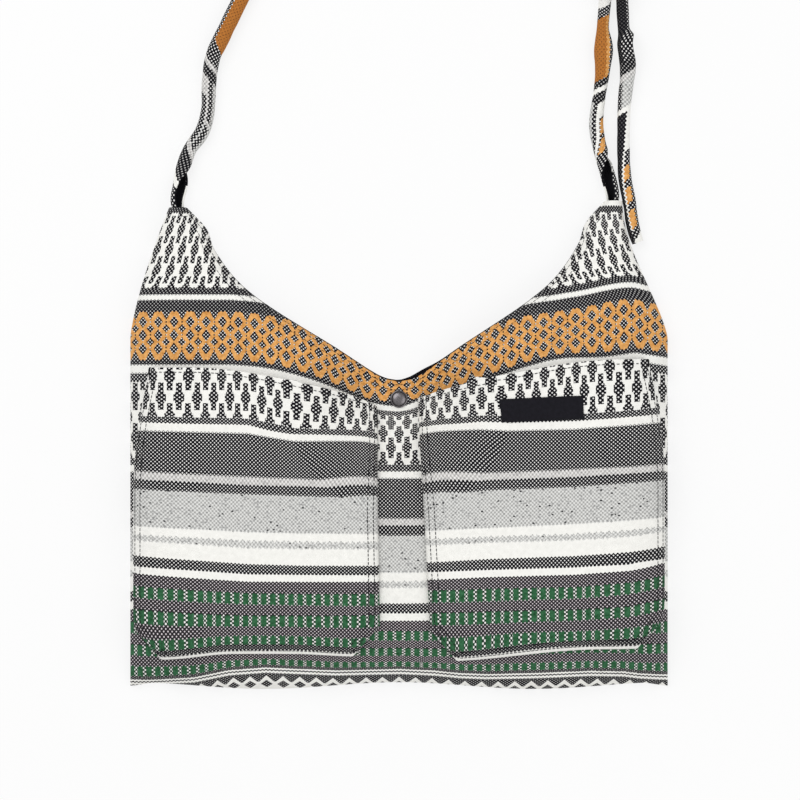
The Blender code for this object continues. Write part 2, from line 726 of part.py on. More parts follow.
def left_path():
    """The left strap: up from its horn, over the arch, through the knot and out in a short tail."""
    rise = tucked(LEFT, strap_rows(LEFT, LEFT_RISE))
    knot = knot_rows(LEFT)
    start, end = rise[-1, 0], knot[0, 0]
    shares = np.array(ARCH)
    same = np.ones(len(shares))
    x = start + (end - start) * shares[:, 0]
    y = LEFT_TIP_HEIGHT + ARCH_ABOVE_TIP * shares[:, 1]
    arch = np.column_stack([x, y, 0 * same, STRAP_ROLL * 1.2 * same, 0 * same, 0.027 * same])
    tail = knot[-1] + np.array([(0.002, 0.018, 0, 0.001, 0, 0.004), (0.008, 0.042, 0, 0.002, 0, 0.006)])
    return np.vstack([rise, arch, knot, tail])


def right_path():
    """The right strap: up from its horn, through the knot and back down in a long tail."""
    rise = tucked(RIGHT, strap_rows(RIGHT, RIGHT_RISE))
    return np.vstack([rise, knot_rows(RIGHT), strap_rows(RIGHT, RIGHT_TAIL)])


def stations(rows):
    """Even stations along a smooth path, as close as each row's facet step asks."""
    dense = smooth_curve(rows)
    travel = np.linalg.norm(np.diff(dense[:, :3], axis=0), axis=1) / dense[1:, 5]
    count = np.concatenate([[0], np.cumsum(travel)])
    wanted = np.linspace(0, count[-1], int(round(count[-1])) + 1)
    return np.column_stack([np.interp(wanted, count, dense[:, k]) for k in range(5)])


def curled_strip(name, path, outer, ply, material):
    """Loft of a strip curled lengthwise: an arc, open on one side, carried along a path.

    The arc's outer face lies a roll less `outer` from the path, and the ply goes inwards from it.
    """
    x, y, lift, roll, turn = path.T
    centre = np.column_stack([x, y, lift + roll + FLOOR_GAP])
    tangent = np.gradient(centre, axis=0)
    tangent /= np.linalg.norm(tangent, axis=1, keepdims=True)
    level = np.cross(tangent, (0, 0, 1))
    level /= np.linalg.norm(level, axis=1, keepdims=True)
    upward = np.cross(level, tangent)
    spread = np.minimum(STRAP_WIDTH / 2 / roll, 2.9)
    angle = math.pi / 2 + np.radians(turn)[:, None] + np.linspace(1, -1, STRIP_POINTS) * spread[:, None]
    angle = np.concatenate([angle, angle[:, ::-1]], axis=1)
    radius = np.repeat([[0.0, -ply]], STRIP_POINTS, axis=1) + (roll - outer)[:, None]
    across = (radius * np.cos(angle))[..., None] * level[:, None]
    up = (radius * np.sin(angle))[..., None] * upward[:, None]
    points = centre[:, None] + across + up
    around = 2 * STRIP_POINTS
    index = np.arange(len(path) * around).reshape(len(path), around)
    here, there = index[:-1], index[1:]
    a, b, c, d = here, np.roll(here, -1, 1), np.roll(there, -1, 1), there
    inward = np.arange(around)[None, :, None] >= STRIP_POINTS
    walls = np.where(inward, np.stack([a, b, d, b, c, d], -1), np.stack([a, b, c, a, c, d], -1))
    walls = walls.reshape(-1, 3).tolist()
    pairs = [(k, k + 1, around - 2 - k, around - 1 - k) for k in range(STRIP_POINTS - 1)]
    start = [tuple(index[0][list(pair)][::-1]) for pair in pairs]
    end = [tuple(index[-1][list(pair)]) for pair in pairs]
    mesh = bpy.data.meshes.new(name)
    mesh.from_pydata(points.reshape(-1, 3).tolist(), [], walls + start + end)
    return finish_mesh(name, mesh, material)


def make_straps(cloth, facing):
    """Both straps and their facings."""
    for name, rows in (("left_strap", left_path()), ("right_strap", right_path())):
        path = stations(rows)
        curled_strip(name, path, 0.0, STRAP_CLOTH, cloth)
        curled_strip(name + "_facing", path, STRAP_CLOTH + FACING_GAP, LINING, facing)


OFF_WHITE = (0.87, 0.86, 0.82)
CHARCOAL = (0.055, 0.052, 0.062)
OCHRE = (0.56, 0.27, 0.09)
GREEN = (0.045, 0.12, 0.055)
HEATHER = (0.42, 0.42, 0.42)
PALE_GREY = (0.52, 0.52, 0.54)
MIXED = (0.30, 0.30, 0.30)
BLACK = (0.012, 0.011, 0.014)
GUNMETAL = (0.10, 0.09, 0.10)

# Bands of the woven cloth from the base seam up: upper edge over the base, and colour
BANDS = (
    (0.009, CHARCOAL), (0.015, OFF_WHITE), (0.042, GREEN), (0.050, CHARCOAL), (0.056, OFF_WHITE),
    (0.064, CHARCOAL), (0.074, OFF_WHITE), (0.079, HEATHER), (0.086, OFF_WHITE), (0.114, HEATHER),
    (0.121, CHARCOAL), (0.127, PALE_GREY), (0.160, CHARCOAL), (0.166, OFF_WHITE), (0.171, CHARCOAL),
    (0.229, MIXED), (0.235, CHARCOAL), (0.241, OFF_WHITE), (0.245, CHARCOAL), (0.281, OCHRE),
    (0.290, CHARCOAL), (0.294, OFF_WHITE), (0.299, CHARCOAL), (0.370, MIXED),
)
POCKET_BAND_SHIFT = 0.0315
STRAP_BANDS = (
    (0.40, CHARCOAL), (0.43, MIXED), (0.47, CHARCOAL), (0.52, OCHRE), (0.56, MIXED), (0.70, CHARCOAL),
)


def main():
    """Clear the scene and make the bag, piece by piece."""
    body = striped("rug_cloth", -0.01, BANDS)
    pocket = striped("pocket_cloth", -0.01, [(top + POCKET_BAND_SHIFT, colour) for top, colour in BANDS])
    strap = striped("strap_cloth", 0.32, STRAP_BANDS)
    lining = principled("black_lining", BLACK, 0.85)
    label = principled("woven_label", BLACK, 0.60)
    thread = principled("black_thread", BLACK, 0.70)
    metal = principled("gunmetal", GUNMETAL, 0.35, 1.0)
    make_back(body, lining)
    ground = make_front(body, lining)
    make_snap(metal)
    make_pockets(ground, {LEFT: pocket, RIGHT: pocket}, label, thread)
    make_straps(strap, lining)
    rest = bpy.data.objects.new("bag_frame", None)
    rest.location.y = -REST_HEIGHT
    bpy.context.scene.collection.objects.link(rest)
    for piece in [*parts.objects, *cutters.objects]:
        piece.parent = rest


for thing in list(bpy.data.objects):
    bpy.data.objects.remove(thing, do_unlink=True)
parts = bpy.data.collections.new("shoulder_bag")
cutters = bpy.data.collections.new("cutters")
bpy.context.scene.collection.children.link(parts)
bpy.context.scene.collection.children.link(cutters)
main()
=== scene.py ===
"""Dress the shoulder bag: rug cloth, lining, pockets, snap, label, stitching and curled straps.

Lengths are in metres. Shapes are worked out in bag coordinates, with the base seam at Y = 0 and
the floor at Z = 0, and moved by REST_HEIGHT into the frame's coordinates as a mesh is made.
Patterns are reckoned in millimetres of cloth.
"""

import logging
import math
from dataclasses import dataclass
from enum import Enum
from typing import Any, Sequence

import bpy
import numpy as np
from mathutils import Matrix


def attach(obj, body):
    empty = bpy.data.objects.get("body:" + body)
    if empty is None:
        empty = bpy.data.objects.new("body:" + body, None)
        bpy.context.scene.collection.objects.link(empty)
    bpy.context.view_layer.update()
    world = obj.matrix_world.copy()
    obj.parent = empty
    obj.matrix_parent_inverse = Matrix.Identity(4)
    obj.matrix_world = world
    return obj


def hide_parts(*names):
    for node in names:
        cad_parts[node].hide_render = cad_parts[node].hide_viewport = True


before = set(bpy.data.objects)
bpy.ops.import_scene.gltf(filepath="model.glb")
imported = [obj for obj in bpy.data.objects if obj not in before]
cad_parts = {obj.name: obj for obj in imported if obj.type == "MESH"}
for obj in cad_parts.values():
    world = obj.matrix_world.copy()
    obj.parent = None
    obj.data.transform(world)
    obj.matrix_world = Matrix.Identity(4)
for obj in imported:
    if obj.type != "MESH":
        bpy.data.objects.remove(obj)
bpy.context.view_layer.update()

log = logging.getLogger("shoulder_bag")

REST_HEIGHT = 0.120
STITCH_STEP = 0.0031
Array = np.ndarray


class Side(Enum):
    """Side of the bag as the camera sees it."""

    LEFT = -1
    RIGHT = 1


class Weave(Enum):
    """What one band of the rug cloth is woven as."""

    CHARCOAL = "charcoal with white specks"
    MOTTLED = "charcoal with fine dense specks"
    WHITE = "plain off-white"
    BLACK = "plain black line"
    PALE = "pale grey"
    HEATHER = "grey heather with dark flecks"
    CLOUDY = "off-white with soft grey diamonds"
    LATTICE = "dark diamonds and stems on off-white"
    HORN_LATTICE = "the same diamonds in the horns"
    OCHRE = "ochre with speckled diamonds and toothed edges"
    OCHRE_BACK = "ochre, darker, with dark flecks"
    GREEN = "green blocks between dotted columns"
    ZIGZAG = "white zigzag over dark diamonds"
    DIM = "charcoal with faint specks"
    OCHRE_PLAIN = "ochre without figures"


# ---------------------------------------------------------------- numbers and curves


def ease(t: Any) -> Array:
    """A smooth step: 3t^2 - 2t^3 with t held between 0 and 1."""
    t = np.clip(t, 0, 1)
    return t * t * (3 - 2 * t)


def quarter(t: Any) -> Array:
    """A quarter round: the square root of 1 - (1 - t)^2 with t held between 0 and 1."""
    return np.sqrt(np.clip(1 - (1 - np.clip(t, 0, 1)) ** 2, 0, 1))


def read(table: Any, at: Any) -> Array:
    """Values of a table of places and values, on straight lines between its rows."""
    return np.interp(at, *np.array(table).T)


def unit(vectors: Array) -> Array:
    """Vectors over their own lengths."""
    return vectors / np.maximum(np.linalg.norm(vectors, axis=-1, keepdims=True), 1e-9)


def lengths(points: Array) -> Array:
    """Length along a row of points, from 0 at the first."""
    return np.concatenate([[0], np.cumsum(np.linalg.norm(np.diff(points, axis=0), axis=1))])


def smooth_curve(points: Sequence[Sequence[float]], samples: int = 24) -> Array:
    """Dense points of a Catmull-Rom curve: cubic spans whose slopes are half of the neighbours' step.

    Args:
        points: rows of numbers that the curve goes through.
        samples: points for each span.

    Returns:
        The dense rows.
    """
    rows = np.asarray(points, float)
    padded = np.vstack([2 * rows[0] - rows[1], rows, 2 * rows[-1] - rows[-2]])
    before, start, end, after = (padded[k:len(rows) - 1 + k, None] for k in range(4))
    t = np.linspace(0, 1, samples, endpoint=False)[None, :, None]
    spans = (
        start
        + 0.5 * t * (end - before)
        + t ** 2 * (before - 2.5 * start + 2 * end - 0.5 * after)
        + t ** 3 * (1.5 * (start - end) + 0.5 * (after - before))
    )
    return np.vstack([spans.reshape(-1, rows.shape[1]), rows[-1:]])


def along(curve: Array, shares: Any) -> Array:
    """Points at shares, from 0 to 1, of a dense curve's length in plan."""
    length = lengths(curve[:, :2])
    wanted = np.asarray(shares, float) * length[-1]
    return np.column_stack([np.interp(wanted, length, column) for column in curve.T])


def stitch_places(path: Array, distance: float, ends: tuple[float, float], samples: int) -> Array:
    """Places of stitches, a step apart, along a plan path moved to its left along its steps' normals.

    Args:
        path: points in plan.
        distance: how far the path is moved.
        ends: shares of the path where the stitches start and end.
        samples: points of the moved path.

    Returns:
        Rows of X and Y.
    """
    dense = along(path, np.linspace(0, 1, samples))
    step = unit(np.gradient(dense, axis=0))
    dense = dense + distance * np.column_stack([-step[:, 1], step[:, 0]])
    return along(dense, np.linspace(*ends, int(lengths(dense)[-1] / STITCH_STEP)))


# ---------------------------------------------------------------- meshes


def make_object(name: str, points: Array, faces: Array, cloth: Array | None = None) -> bpy.types.Object:
    """A smooth-shaded mesh object in the frame's coordinates.

    Args:
        name: the object's name.
        points: rows of bag coordinates.
        faces: rows of four point numbers.
        cloth: the cloth coordinates of each point, in metres.

    Returns:
        The linked object.
    """
    mesh = bpy.data.meshes.new(name)
    placed = points.reshape(-1, 3) - (0, REST_HEIGHT, 0)
    corners = faces.reshape(-1)
    mesh.vertices.add(len(placed))
    mesh.vertices.foreach_set("co", placed.ravel())
    mesh.loops.add(len(corners))
    mesh.loops.foreach_set("vertex_index", corners)
    mesh.polygons.add(len(faces))
    mesh.polygons.foreach_set("loop_start", np.arange(0, len(corners), faces.shape[1]))
    mesh.update(calc_edges=True)
    if cloth is not None:
        layer = mesh.uv_layers.new(name="cloth")
        layer.uv.foreach_set("vector", cloth.reshape(-1, 2)[corners].ravel())
    mesh.shade_smooth()
    mesh.set_sharp_from_angle(angle=math.radians(50))
    piece = bpy.data.objects.new(name, mesh)
    bpy.context.scene.collection.objects.link(piece)
    return piece


def shell(name: str, outer: Array, inner: Array, cloth: Array) -> bpy.types.Object:
    """A closed ply: quads over two grids of points, and a rim that joins their borders.

    Args:
        name: the object's name.
        outer: the grid of the outer face, whose columns run +X and rows +Y.
        inner: the same grid on the inner face.
        cloth: cloth coordinates of the grid.

    Returns:
        The linked object.
    """
    index = np.arange(outer[..., 0].size).reshape(outer.shape[:2])
    top = np.stack([index[:-1, :-1], index[1:, :-1], index[1:, 1:], index[:-1, 1:]], -1).reshape(-1, 4)
    border = np.concatenate([index[:, 0], index[-1, 1:], index[::-1, -1][1:], index[0, ::-1][1:]])
    here, there = border[:-1], border[1:]
    rim = np.column_stack([there, here, here + index.size, there + index.size])
    faces = np.vstack([top, top[:, ::-1] + index.size, rim])
    return make_object(name, np.concatenate([outer, inner]), faces, np.concatenate([cloth, cloth]))


def wall_faces(index: Array) -> Array:
    """Quads between each ring of point numbers, which runs along the last axis, and the next ring."""
    here, there = index[..., :-1, :], index[..., 1:, :]
    return np.stack([here, np.roll(here, -1, -1), np.roll(there, -1, -1), there], -1).reshape(-1, 4)


def loft(name: str, rings: Array, cloth: Array) -> bpy.types.Object:
    """A closed tube through rings of points, with a flat end on each side.

    The ring's first half is the outer face and its second half comes back along the inner face.

    Args:
        name: the object's name.
        rings: stations by points by three.
        cloth: cloth coordinates of the same points.

    Returns:
        The linked object.
    """
    stations, around = rings.shape[:2]
    index = np.arange(stations * around).reshape(stations, around)
    k = np.arange(around // 2 - 1)
    pairs = np.column_stack([k, k + 1, around - 2 - k, around - 1 - k])
    faces = np.vstack([wall_faces(index), index[0][pairs][:, ::-1], index[-1][pairs]])
    return make_object(name, rings, faces, cloth)


def turned(
    name: str, profile: Sequence[tuple[float, float]], centre: tuple[float, float]
) -> bpy.types.Object:
    """A turned piece: a profile of radius and height, top to bottom, carried round a vertical axis.

    Args:
        name: the object's name.
        profile: rows of radius and height; the first and last lie on the axis.
        centre: plan place of the axis.

    Returns:
        The linked object.
    """
    turn = np.linspace(0, 2 * math.pi, 64, endpoint=False)[:, None]
    radius, height = np.array(profile).T[:, None]
    radius = np.maximum(radius, 1e-6)
    points = np.dstack([
        centre[0] + radius * np.cos(turn), centre[1] + radius * np.sin(turn), height + 0 * turn
    ])
    index = np.arange(points[..., 0].size).reshape(points.shape[:2])
    there = np.roll(index, -1, 0)
    quads = np.stack([index[:, :-1], index[:, 1:], there[:, 1:], there[:, :-1]], -1).reshape(-1, 4)
    return make_object(name, points, quads)


def thread_rows(
    name: str, lines: Sequence[Array], normals: Sequence[Array], length: float, radius: float
) -> bpy.types.Object:
    """Rows of stitches: each is a bead of six rings of six points, rounded off at its ends.

    The radius is the square root of 1 - s^6, where s goes from -1 to 1 along the stitch.

    Args:
        name: the object's name.
        lines: points of the stitches' middles, an even step apart.
        normals: the cloth's normals there.
        length: length of a stitch.
        radius: radius of the thread.

    Returns:
        The linked object.
    """
    middles = np.vstack(lines)
    tangents = unit(np.vstack([np.gradient(line, axis=0) for line in lines]))
    across = unit(np.cross(np.vstack(normals), tangents))
    share = np.linspace(-1, 1, 6)
    girth = radius * np.maximum(1 - share ** 6, 0.0025)[:, None] ** 0.5
    turn = np.linspace(0, 2 * math.pi, 6, endpoint=False)
    stretch = np.repeat(share[:, None] * length / 2, 6, 1)
    ring = np.stack([stretch, girth * np.cos(turn), girth * np.sin(turn)], -1)
    axes = np.stack([tangents, across, np.cross(tangents, across)], 1)
    points = middles[:, None, None] + np.einsum("rka,nab->nrkb", ring, axes)
    index = np.arange(len(middles) * 36).reshape(-1, 6, 6)
    first = index[:, 0][:, [[0, 5, 4, 3], [0, 3, 2, 1]]]
    last = index[:, -1][:, [[0, 1, 2, 3], [0, 3, 4, 5]]]
    faces = np.vstack([wall_faces(index), np.concatenate([first, last]).reshape(-1, 4)])
    return make_object(name, points, faces[:, ::-1])


# ---------------------------------------------------------------- nodes


def linear(code: str) -> tuple[float, float, float, float]:
    """A colour written as sRGB hex digits, turned into linear light."""
    parts = [int(code[k:k + 2], 16) / 255 for k in (0, 2, 4)]
    return (*(c / 12.92 if c <= 0.04045 else ((c + 0.055) / 1.055) ** 2.4 for c in parts), 1.0)


def add_node(
    tree: bpy.types.NodeTree, kind: str, inputs: dict[Any, Any] | None = None, **settings: Any
) -> bpy.types.Node:
    """Add a node with its settings, and link or set its inputs.

    Args:
        tree: the node tree.
        kind: the node's type, without the words ShaderNode.
        inputs: what each input, by name or number, takes: a Field, a socket, hex digits or a value.
        settings: attributes of the node.

    Returns:
        The node.
    """
    node = tree.nodes.new("ShaderNode" + kind)
    for key, value in settings.items():
        setattr(node, key, value)
    for key, value in (inputs or {}).items():
        value = value.socket if isinstance(value, Field) else value
        if isinstance(value, bpy.types.NodeSocket):
            tree.links.new(value, node.inputs[key])
        else:
            node.inputs[key].default_value = linear(value) if isinstance(value, str) else value
    return node


@dataclass(frozen=True)
class Field:
    """A value that varies over a surface, and is reckoned with like a number."""

    socket: bpy.types.NodeSocket

    def reckon(self, operation: str, *others: Any) -> "Field":
        """The field and others put through one arithmetic step."""
        inputs = dict(enumerate((self, *others)))
        return Field(add_node(self.socket.id_data, "Math", inputs, operation=operation).outputs[0])

    def __add__(self, other: Any) -> "Field":
        """Sum."""
        return self.reckon("ADD", other)

    def __sub__(self, other: Any) -> "Field":
        """Difference."""
        return self.reckon("SUBTRACT", other)

    def __mul__(self, other: Any) -> "Field":
        """Product."""
        return self.reckon("MULTIPLY", other)

    def __gt__(self, other: Any) -> "Field":
        """1 where the field is over the other, and 0 elsewhere."""
        return self.reckon("GREATER_THAN", other)

    def __lt__(self, other: Any) -> "Field":
        """1 where the field is under the other, and 0 elsewhere."""
        return self.reckon("LESS_THAN", other)

    def magnitude(self) -> "Field":
        """The field without its sign."""
        return self.reckon("ABSOLUTE")

    def most(self, other: Any) -> "Field":
        """The larger of two."""
        return self.reckon("MAXIMUM", other)

    def least(self, other: Any) -> "Field":
        """The smaller of two."""
        return self.reckon("MINIMUM", other)

    def held(self) -> "Field":
        """The field held between 0 and 1."""
        return self.most(0.0).least(1.0)

    def wave(self, period: float) -> "Field":
        """Cosine of the field over a period."""
        return (self * (2 * math.pi / period)).reckon("COSINE")

    def from_nearest(self, period: float, phase: float = 0.0) -> "Field":
        """Distance to the nearest of a row of lines a period apart."""
        return ((self - phase + period / 2).reckon("FLOORED_MODULO", period) - period / 2).magnitude()

    def stepped(self, size: float) -> "Field":
        """The field in whole steps of a size."""
        return self.reckon("SNAP", size) + size / 2

    def mixed(self, low: Any, high: Any) -> "Field":
        """Colour between two, as the field goes from 0 to 1."""
        node = add_node(self.socket.id_data, "Mix", {0: self, 6: low, 7: high}, data_type="RGBA")
        return Field(node.outputs[2])


# ---------------------------------------------------------------- finishes


@dataclass(frozen=True)
class Finish:
    """What the finishes share: a material whose pattern is reckoned in millimetres."""

    name: str

    def begin(self, place: str) -> tuple[bpy.types.Material, bpy.types.NodeSocket, Field, Field]:
        """Make an empty material and the coordinates that its pattern reads.

        Args:
            place: UV for the piece's own cloth coordinates, or Object.

        Returns:
            The material, the coordinates, and millimetres along the first and second of them.
        """
        material = bpy.data.materials.new(self.name)
        material.use_nodes = True
        tree = material.node_tree
        tree.nodes.clear()
        own = place == "UV"
        source = add_node(tree, "UVMap", uv_map="cloth") if own else add_node(tree, "TexCoord")
        plane = source.outputs[place]
        split = add_node(tree, "SeparateXYZ", {0: plane})
        return material, plane, Field(split.outputs["X"]) * 1000.0, Field(split.outputs["Y"]) * 1000.0

    def end(
        self, material: bpy.types.Material, colour: Any, height: Any, relief: tuple[float, float],
        settings: dict[str, Any],
    ) -> bpy.types.Material:
        """Close the material with its relief, shader and output.

        Args:
            material: the material.
            colour: its base colour.
            height: what stands out of the surface.
            relief: strength of the relief, and its depth in metres.
            settings: the shader's other inputs.

        Returns:
            The material.
        """
        tree, (strength, depth) = material.node_tree, relief
        bump = add_node(tree, "Bump", {"Strength": strength, "Distance": depth, "Height": height})
        inputs = {"Base Color": colour, "Normal": bump.outputs[0], **settings}
        shader = add_node(tree, "BsdfPrincipled", inputs)
        add_node(tree, "OutputMaterial", {"Surface": shader.outputs[0]})
        return material


@dataclass(frozen=True)
class RugCloth(Finish):
    """Woven recycled-cotton rug cloth: thick matt threads whose bands and figures are woven in.

    The real threads are about 2 mm apart. They are drawn 2.8 mm apart, and 3.3 mm on the curled
    straps, so that their staggered specks show. Sizes of the pattern are in millimetres.
    """

    bands: tuple[tuple[float, Weave], ...]
    patches: tuple[tuple[float, float, float, float, Weave], ...] = ()
    shear: float = 0.0
    pitch_across: float = 2.8
    pitch_along: float = 2.75
    loose_pitch: tuple[float, float] = (3.4, 3.0)
    noises: tuple[tuple[float, float], ...] = ((900.0, 2.0), (330.0, 3.0))
    figure_pitch: float = 12.0
    figure_height: float = 30.7
    figure_row: float = 202.5
    horn_figure_row: float = 312.75
    ochre_middle: float = 263.7
    ochre_row: float = 10.1
    green_pitch: float = 6.7
    zigzag_pitch: float = 12.4
    charcoal: str = "131218"
    speck: str = "F6F5F2"
    fleck: str = "3E3E40"

    def build(self) -> bpy.types.Material:
        """Make the material: a chain of mixes, each of which starts a band at a scalloped edge.

        Returns:
            The material, which reads the piece's own cloth coordinates.
        """
        material, plane, u, v = self.begin("UV")
        dots = u.wave(self.pitch_across) * v.wave(self.pitch_along)
        scallop = v + u * self.shear + u.wave(self.pitch_across) * 0.5
        colours = self.weaves(plane, u, v, dots)
        colour = colours[self.bands[0][1]]
        for (upper, _), (_, weave) in zip(self.bands, self.bands[1:]):
            colour = (scallop > upper).mixed(colour, colours[weave])
        edge = u + v.wave(self.pitch_along) * 0.6
        for low, high, left, right, weave in self.patches:
            inside = (scallop > low) * (scallop < high) * (edge > left) * (edge < right)
            colour = inside.mixed(colour, colours[weave])
        tree = material.node_tree
        noise = add_node(tree, "TexNoise", {"Vector": plane, "Scale": 260.0, "Detail": 3.0})
        slub = Field(noise.outputs["Fac"])
        tone = add_node(tree, "HueSaturation", {"Color": colour, "Value": slub * 0.22 + 0.89})
        matt = {
            "Roughness": 0.95, "Specular IOR Level": 0.08, "Sheen Weight": 0.02, "Sheen Roughness": 0.6,
        }
        return self.end(material, tone.outputs[0], dots * 0.5 + slub * 0.6, (0.2, 0.0005), matt)

    def weaves(
        self, plane: bpy.types.NodeSocket, u: Field, v: Field, dots: Field
    ) -> dict[Weave, Field]:
        """The colour of each kind of band that the cloth has.

        Args:
            plane: the cloth coordinates.
            u: millimetres across the cloth.
            v: millimetres along the cloth.
            dots: the staggered threads, from -1 to 1.

        Returns:
            A colour field for each weave.
        """
        tree, ink, chalk, smoke = plane.id_data, self.charcoal, self.speck, "6E6E70"
        noises = ({"Vector": plane, "Scale": scale, "Detail": detail} for scale, detail in self.noises)
        grain, cloud = (Field(add_node(tree, "TexNoise", noise).outputs["Fac"]) for noise in noises)
        longer = add_node(tree, "VectorMath", {0: plane, 1: (1.0, 1.5, 1.0)}, operation="MULTIPLY")
        cells = add_node(
            tree, "TexVoronoi", {"Vector": longer.outputs[0], "Scale": 420.0},
            feature="F1", voronoi_dimensions="2D",
        )
        tint = Field(add_node(tree, "SeparateXYZ", {0: cells.outputs["Color"]}).outputs[0])
        near = Field(cells.outputs["Distance"])
        faint, fleck = (near < 0.42) * (tint > 0.80), (near < 0.36) * (tint > 0.972)
        speck = (dots * 3.0 - 1.0).held()
        dark, dim = speck.mixed(ink, chalk), (speck * 0.55).mixed(ink, chalk)
        loose_across, loose_along = self.loose_pitch
        loose = (u.wave(loose_across) * v.wave(loose_along) * 3.0 - 1.0).held().mixed(ink, chalk)
        white = grain.mixed("F1F0EA", "FFFEFA")
        weft = (dots * 0.7 + grain * 1.3 - 0.15).held()
        heather = fleck.mixed((faint * 0.45).mixed(weft.mixed("A3A3A1", "EBEBE8"), smoke), self.fleck)
        threads = v.stepped(self.pitch_along / 2)
        ochre = (grain * 0.9 + cloud * 1.9 - 0.78).mixed("C07C34", "F4B870")
        dotted = (dots * 3.4).held().mixed("1B3324", chalk)
        blocks = (grain * 0.9 + cloud * 1.7 - 0.8).mixed("1C4527", "417854")
        ridge = (v + u.from_nearest(self.zigzag_pitch).least(5.4) * 1.3) * -1.0 - 6.6
        tooth = self.diamond(u, v, (self.zigzag_pitch, 0.0), (1000.0, -16.6), (4.6, 4.6))
        soft = self.diamond(u, v, (4.3, 0.0), (1000.0, 85.1), (2.9, 4.2)) * 0.9
        return {
            Weave.CHARCOAL: dark, Weave.DIM: dim, Weave.WHITE: white, Weave.HEATHER: heather,
            Weave.BLACK: (dots * 0.12).most(0.0).mixed(ink, chalk),
            Weave.MOTTLED: (speck * 0.85 + grain * 0.04).mixed("17131A", "F0E8EB"),
            Weave.PALE: (faint * 0.3).mixed(weft.mixed("AAA8A6", "F2F0ED"), smoke),
            Weave.LATTICE: self.lattice(u, threads, self.figure_row).mixed(white, loose),
            Weave.HORN_LATTICE: self.lattice(u, threads, self.horn_figure_row).mixed(white, loose),
            Weave.CLOUDY: soft.mixed(white, heather),
            Weave.OCHRE: self.ochre_figure(u, v).mixed(ochre, dark),
            Weave.OCHRE_PLAIN: ochre,
            Weave.OCHRE_BACK: ((dots * 1.6 - 0.6).most(0.0) * 0.8).mixed(
                (grain * 1.4 - 0.2).mixed("9A5D28", "CC843E"), "3A2A20"
            ),
            Weave.GREEN: (u.from_nearest(self.green_pitch) > 2.05).mixed(blocks, dotted),
            Weave.ZIGZAG: (ridge > 0.0).mixed(dim, tooth.mixed(white, dim)),
        }

    def diamond(
        self, u: Field, v: Field, columns: tuple[float, float], rows: tuple[float, float],
        half: tuple[float, float],
    ) -> Field:
        """1 inside diamonds: where the distances over half width and half height add to under 1.

        Args:
            u: millimetres across.
            v: millimetres along.
            columns: distance between diamonds across, and the place of one.
            rows: distance between diamonds along, and the place of one.
            half: half width and half height.

        Returns:
            The mask.
        """
        return u.from_nearest(*columns) * (1 / half[0]) + v.from_nearest(*rows) * (1 / half[1]) < 1.0

    def lattice(self, u: Field, v: Field, level: float) -> Field:
        """1 inside the staggered diamonds and the narrow stems above and below each.

        Args:
            u: millimetres across.
            v: millimetres along, in whole threads.
            level: height of one row of diamonds.

        Returns:
            The mask.
        """
        masks = []
        for half in (0.0, 0.5):
            columns = (self.figure_pitch, half * self.figure_pitch)
            rows = (self.figure_height, level + half * self.figure_height)
            aside = u.from_nearest(*columns)
            stem = (aside < 1.95) * (v.from_nearest(*rows) < 10.4)
            masks.append((self.diamond(u, v, columns, rows, (5.4, 6.6)) * (aside < 3.6)).most(stem))
        return masks[0].most(masks[1])

    def ochre_figure(self, u: Field, v: Field) -> Field:
        """1 inside the ochre band's small diamonds, dotted columns and toothed edges.

        Args:
            u: millimetres across.
            v: millimetres along.

        Returns:
            The mask.
        """
        pitch, middle, row = self.figure_pitch, self.ochre_middle, self.ochre_row
        main = self.diamond(u, v, (pitch, 0.0), (row, middle), (3.4, 4.7))
        small = self.diamond(u, v, (pitch, pitch / 2), (row, middle + row / 2), (3.1, 3.1))
        column = u.from_nearest(pitch, pitch / 2)
        reach = (v - middle).magnitude()
        dotted = (column < 0.55) * (v.wave(2.4) > 0.0)
        teeth = (reach > 13.4) * (column < (reach - 13.4) * 0.5 + 1.2)
        return (main.most(small) * (reach < 14.0)).most(dotted).most(teeth)


@dataclass(frozen=True)
class PlainCotton(Finish):
    """Black plain-weave cotton lining: threads 0.4 mm apart, drawn at 0.9 mm so that they show."""

    def build(self) -> bpy.types.Material:
        """Make the material, which reads Object coordinates, and return it."""
        material, place, x, y = self.begin("Object")
        threads = x.wave(0.9) * y.wave(0.9)
        inputs = {"Vector": place, "Scale": 70.0, "Detail": 4.0}
        cloud = add_node(material.node_tree, "TexNoise", inputs)
        shade = (Field(cloud.outputs["Fac"]) + threads * 0.12).mixed("0C0B0F", "1B1A20")
        matt = {"Roughness": 0.85, "Specular IOR Level": 0.1, "Sheen Weight": 0.02}
        return self.end(material, shade, threads, (0.4, 0.0002), matt)


@dataclass(frozen=True)
class SewingThread(Finish):
    """Black polyester sewing thread: twisted plies 0.5 mm apart that give it a faint ropy sheen."""

    def build(self) -> bpy.types.Material:
        """Make the material, which reads Object coordinates, and return it."""
        material, place, _, _ = self.begin("Object")
        inputs = {"Vector": place, "Scale": 620.0, "Distortion": 1.0}
        wave = add_node(material.node_tree, "TexWave", inputs, bands_direction="DIAGONAL")
        twist = Field(wave.outputs["Fac"])
        shade = (twist * 0.5).mixed("0C0B0F", "2C2B31")
        ropy = {"Roughness": 0.6, "Specular IOR Level": 0.15}
        return self.end(material, shade, twist, (0.3, 0.0001), ropy)


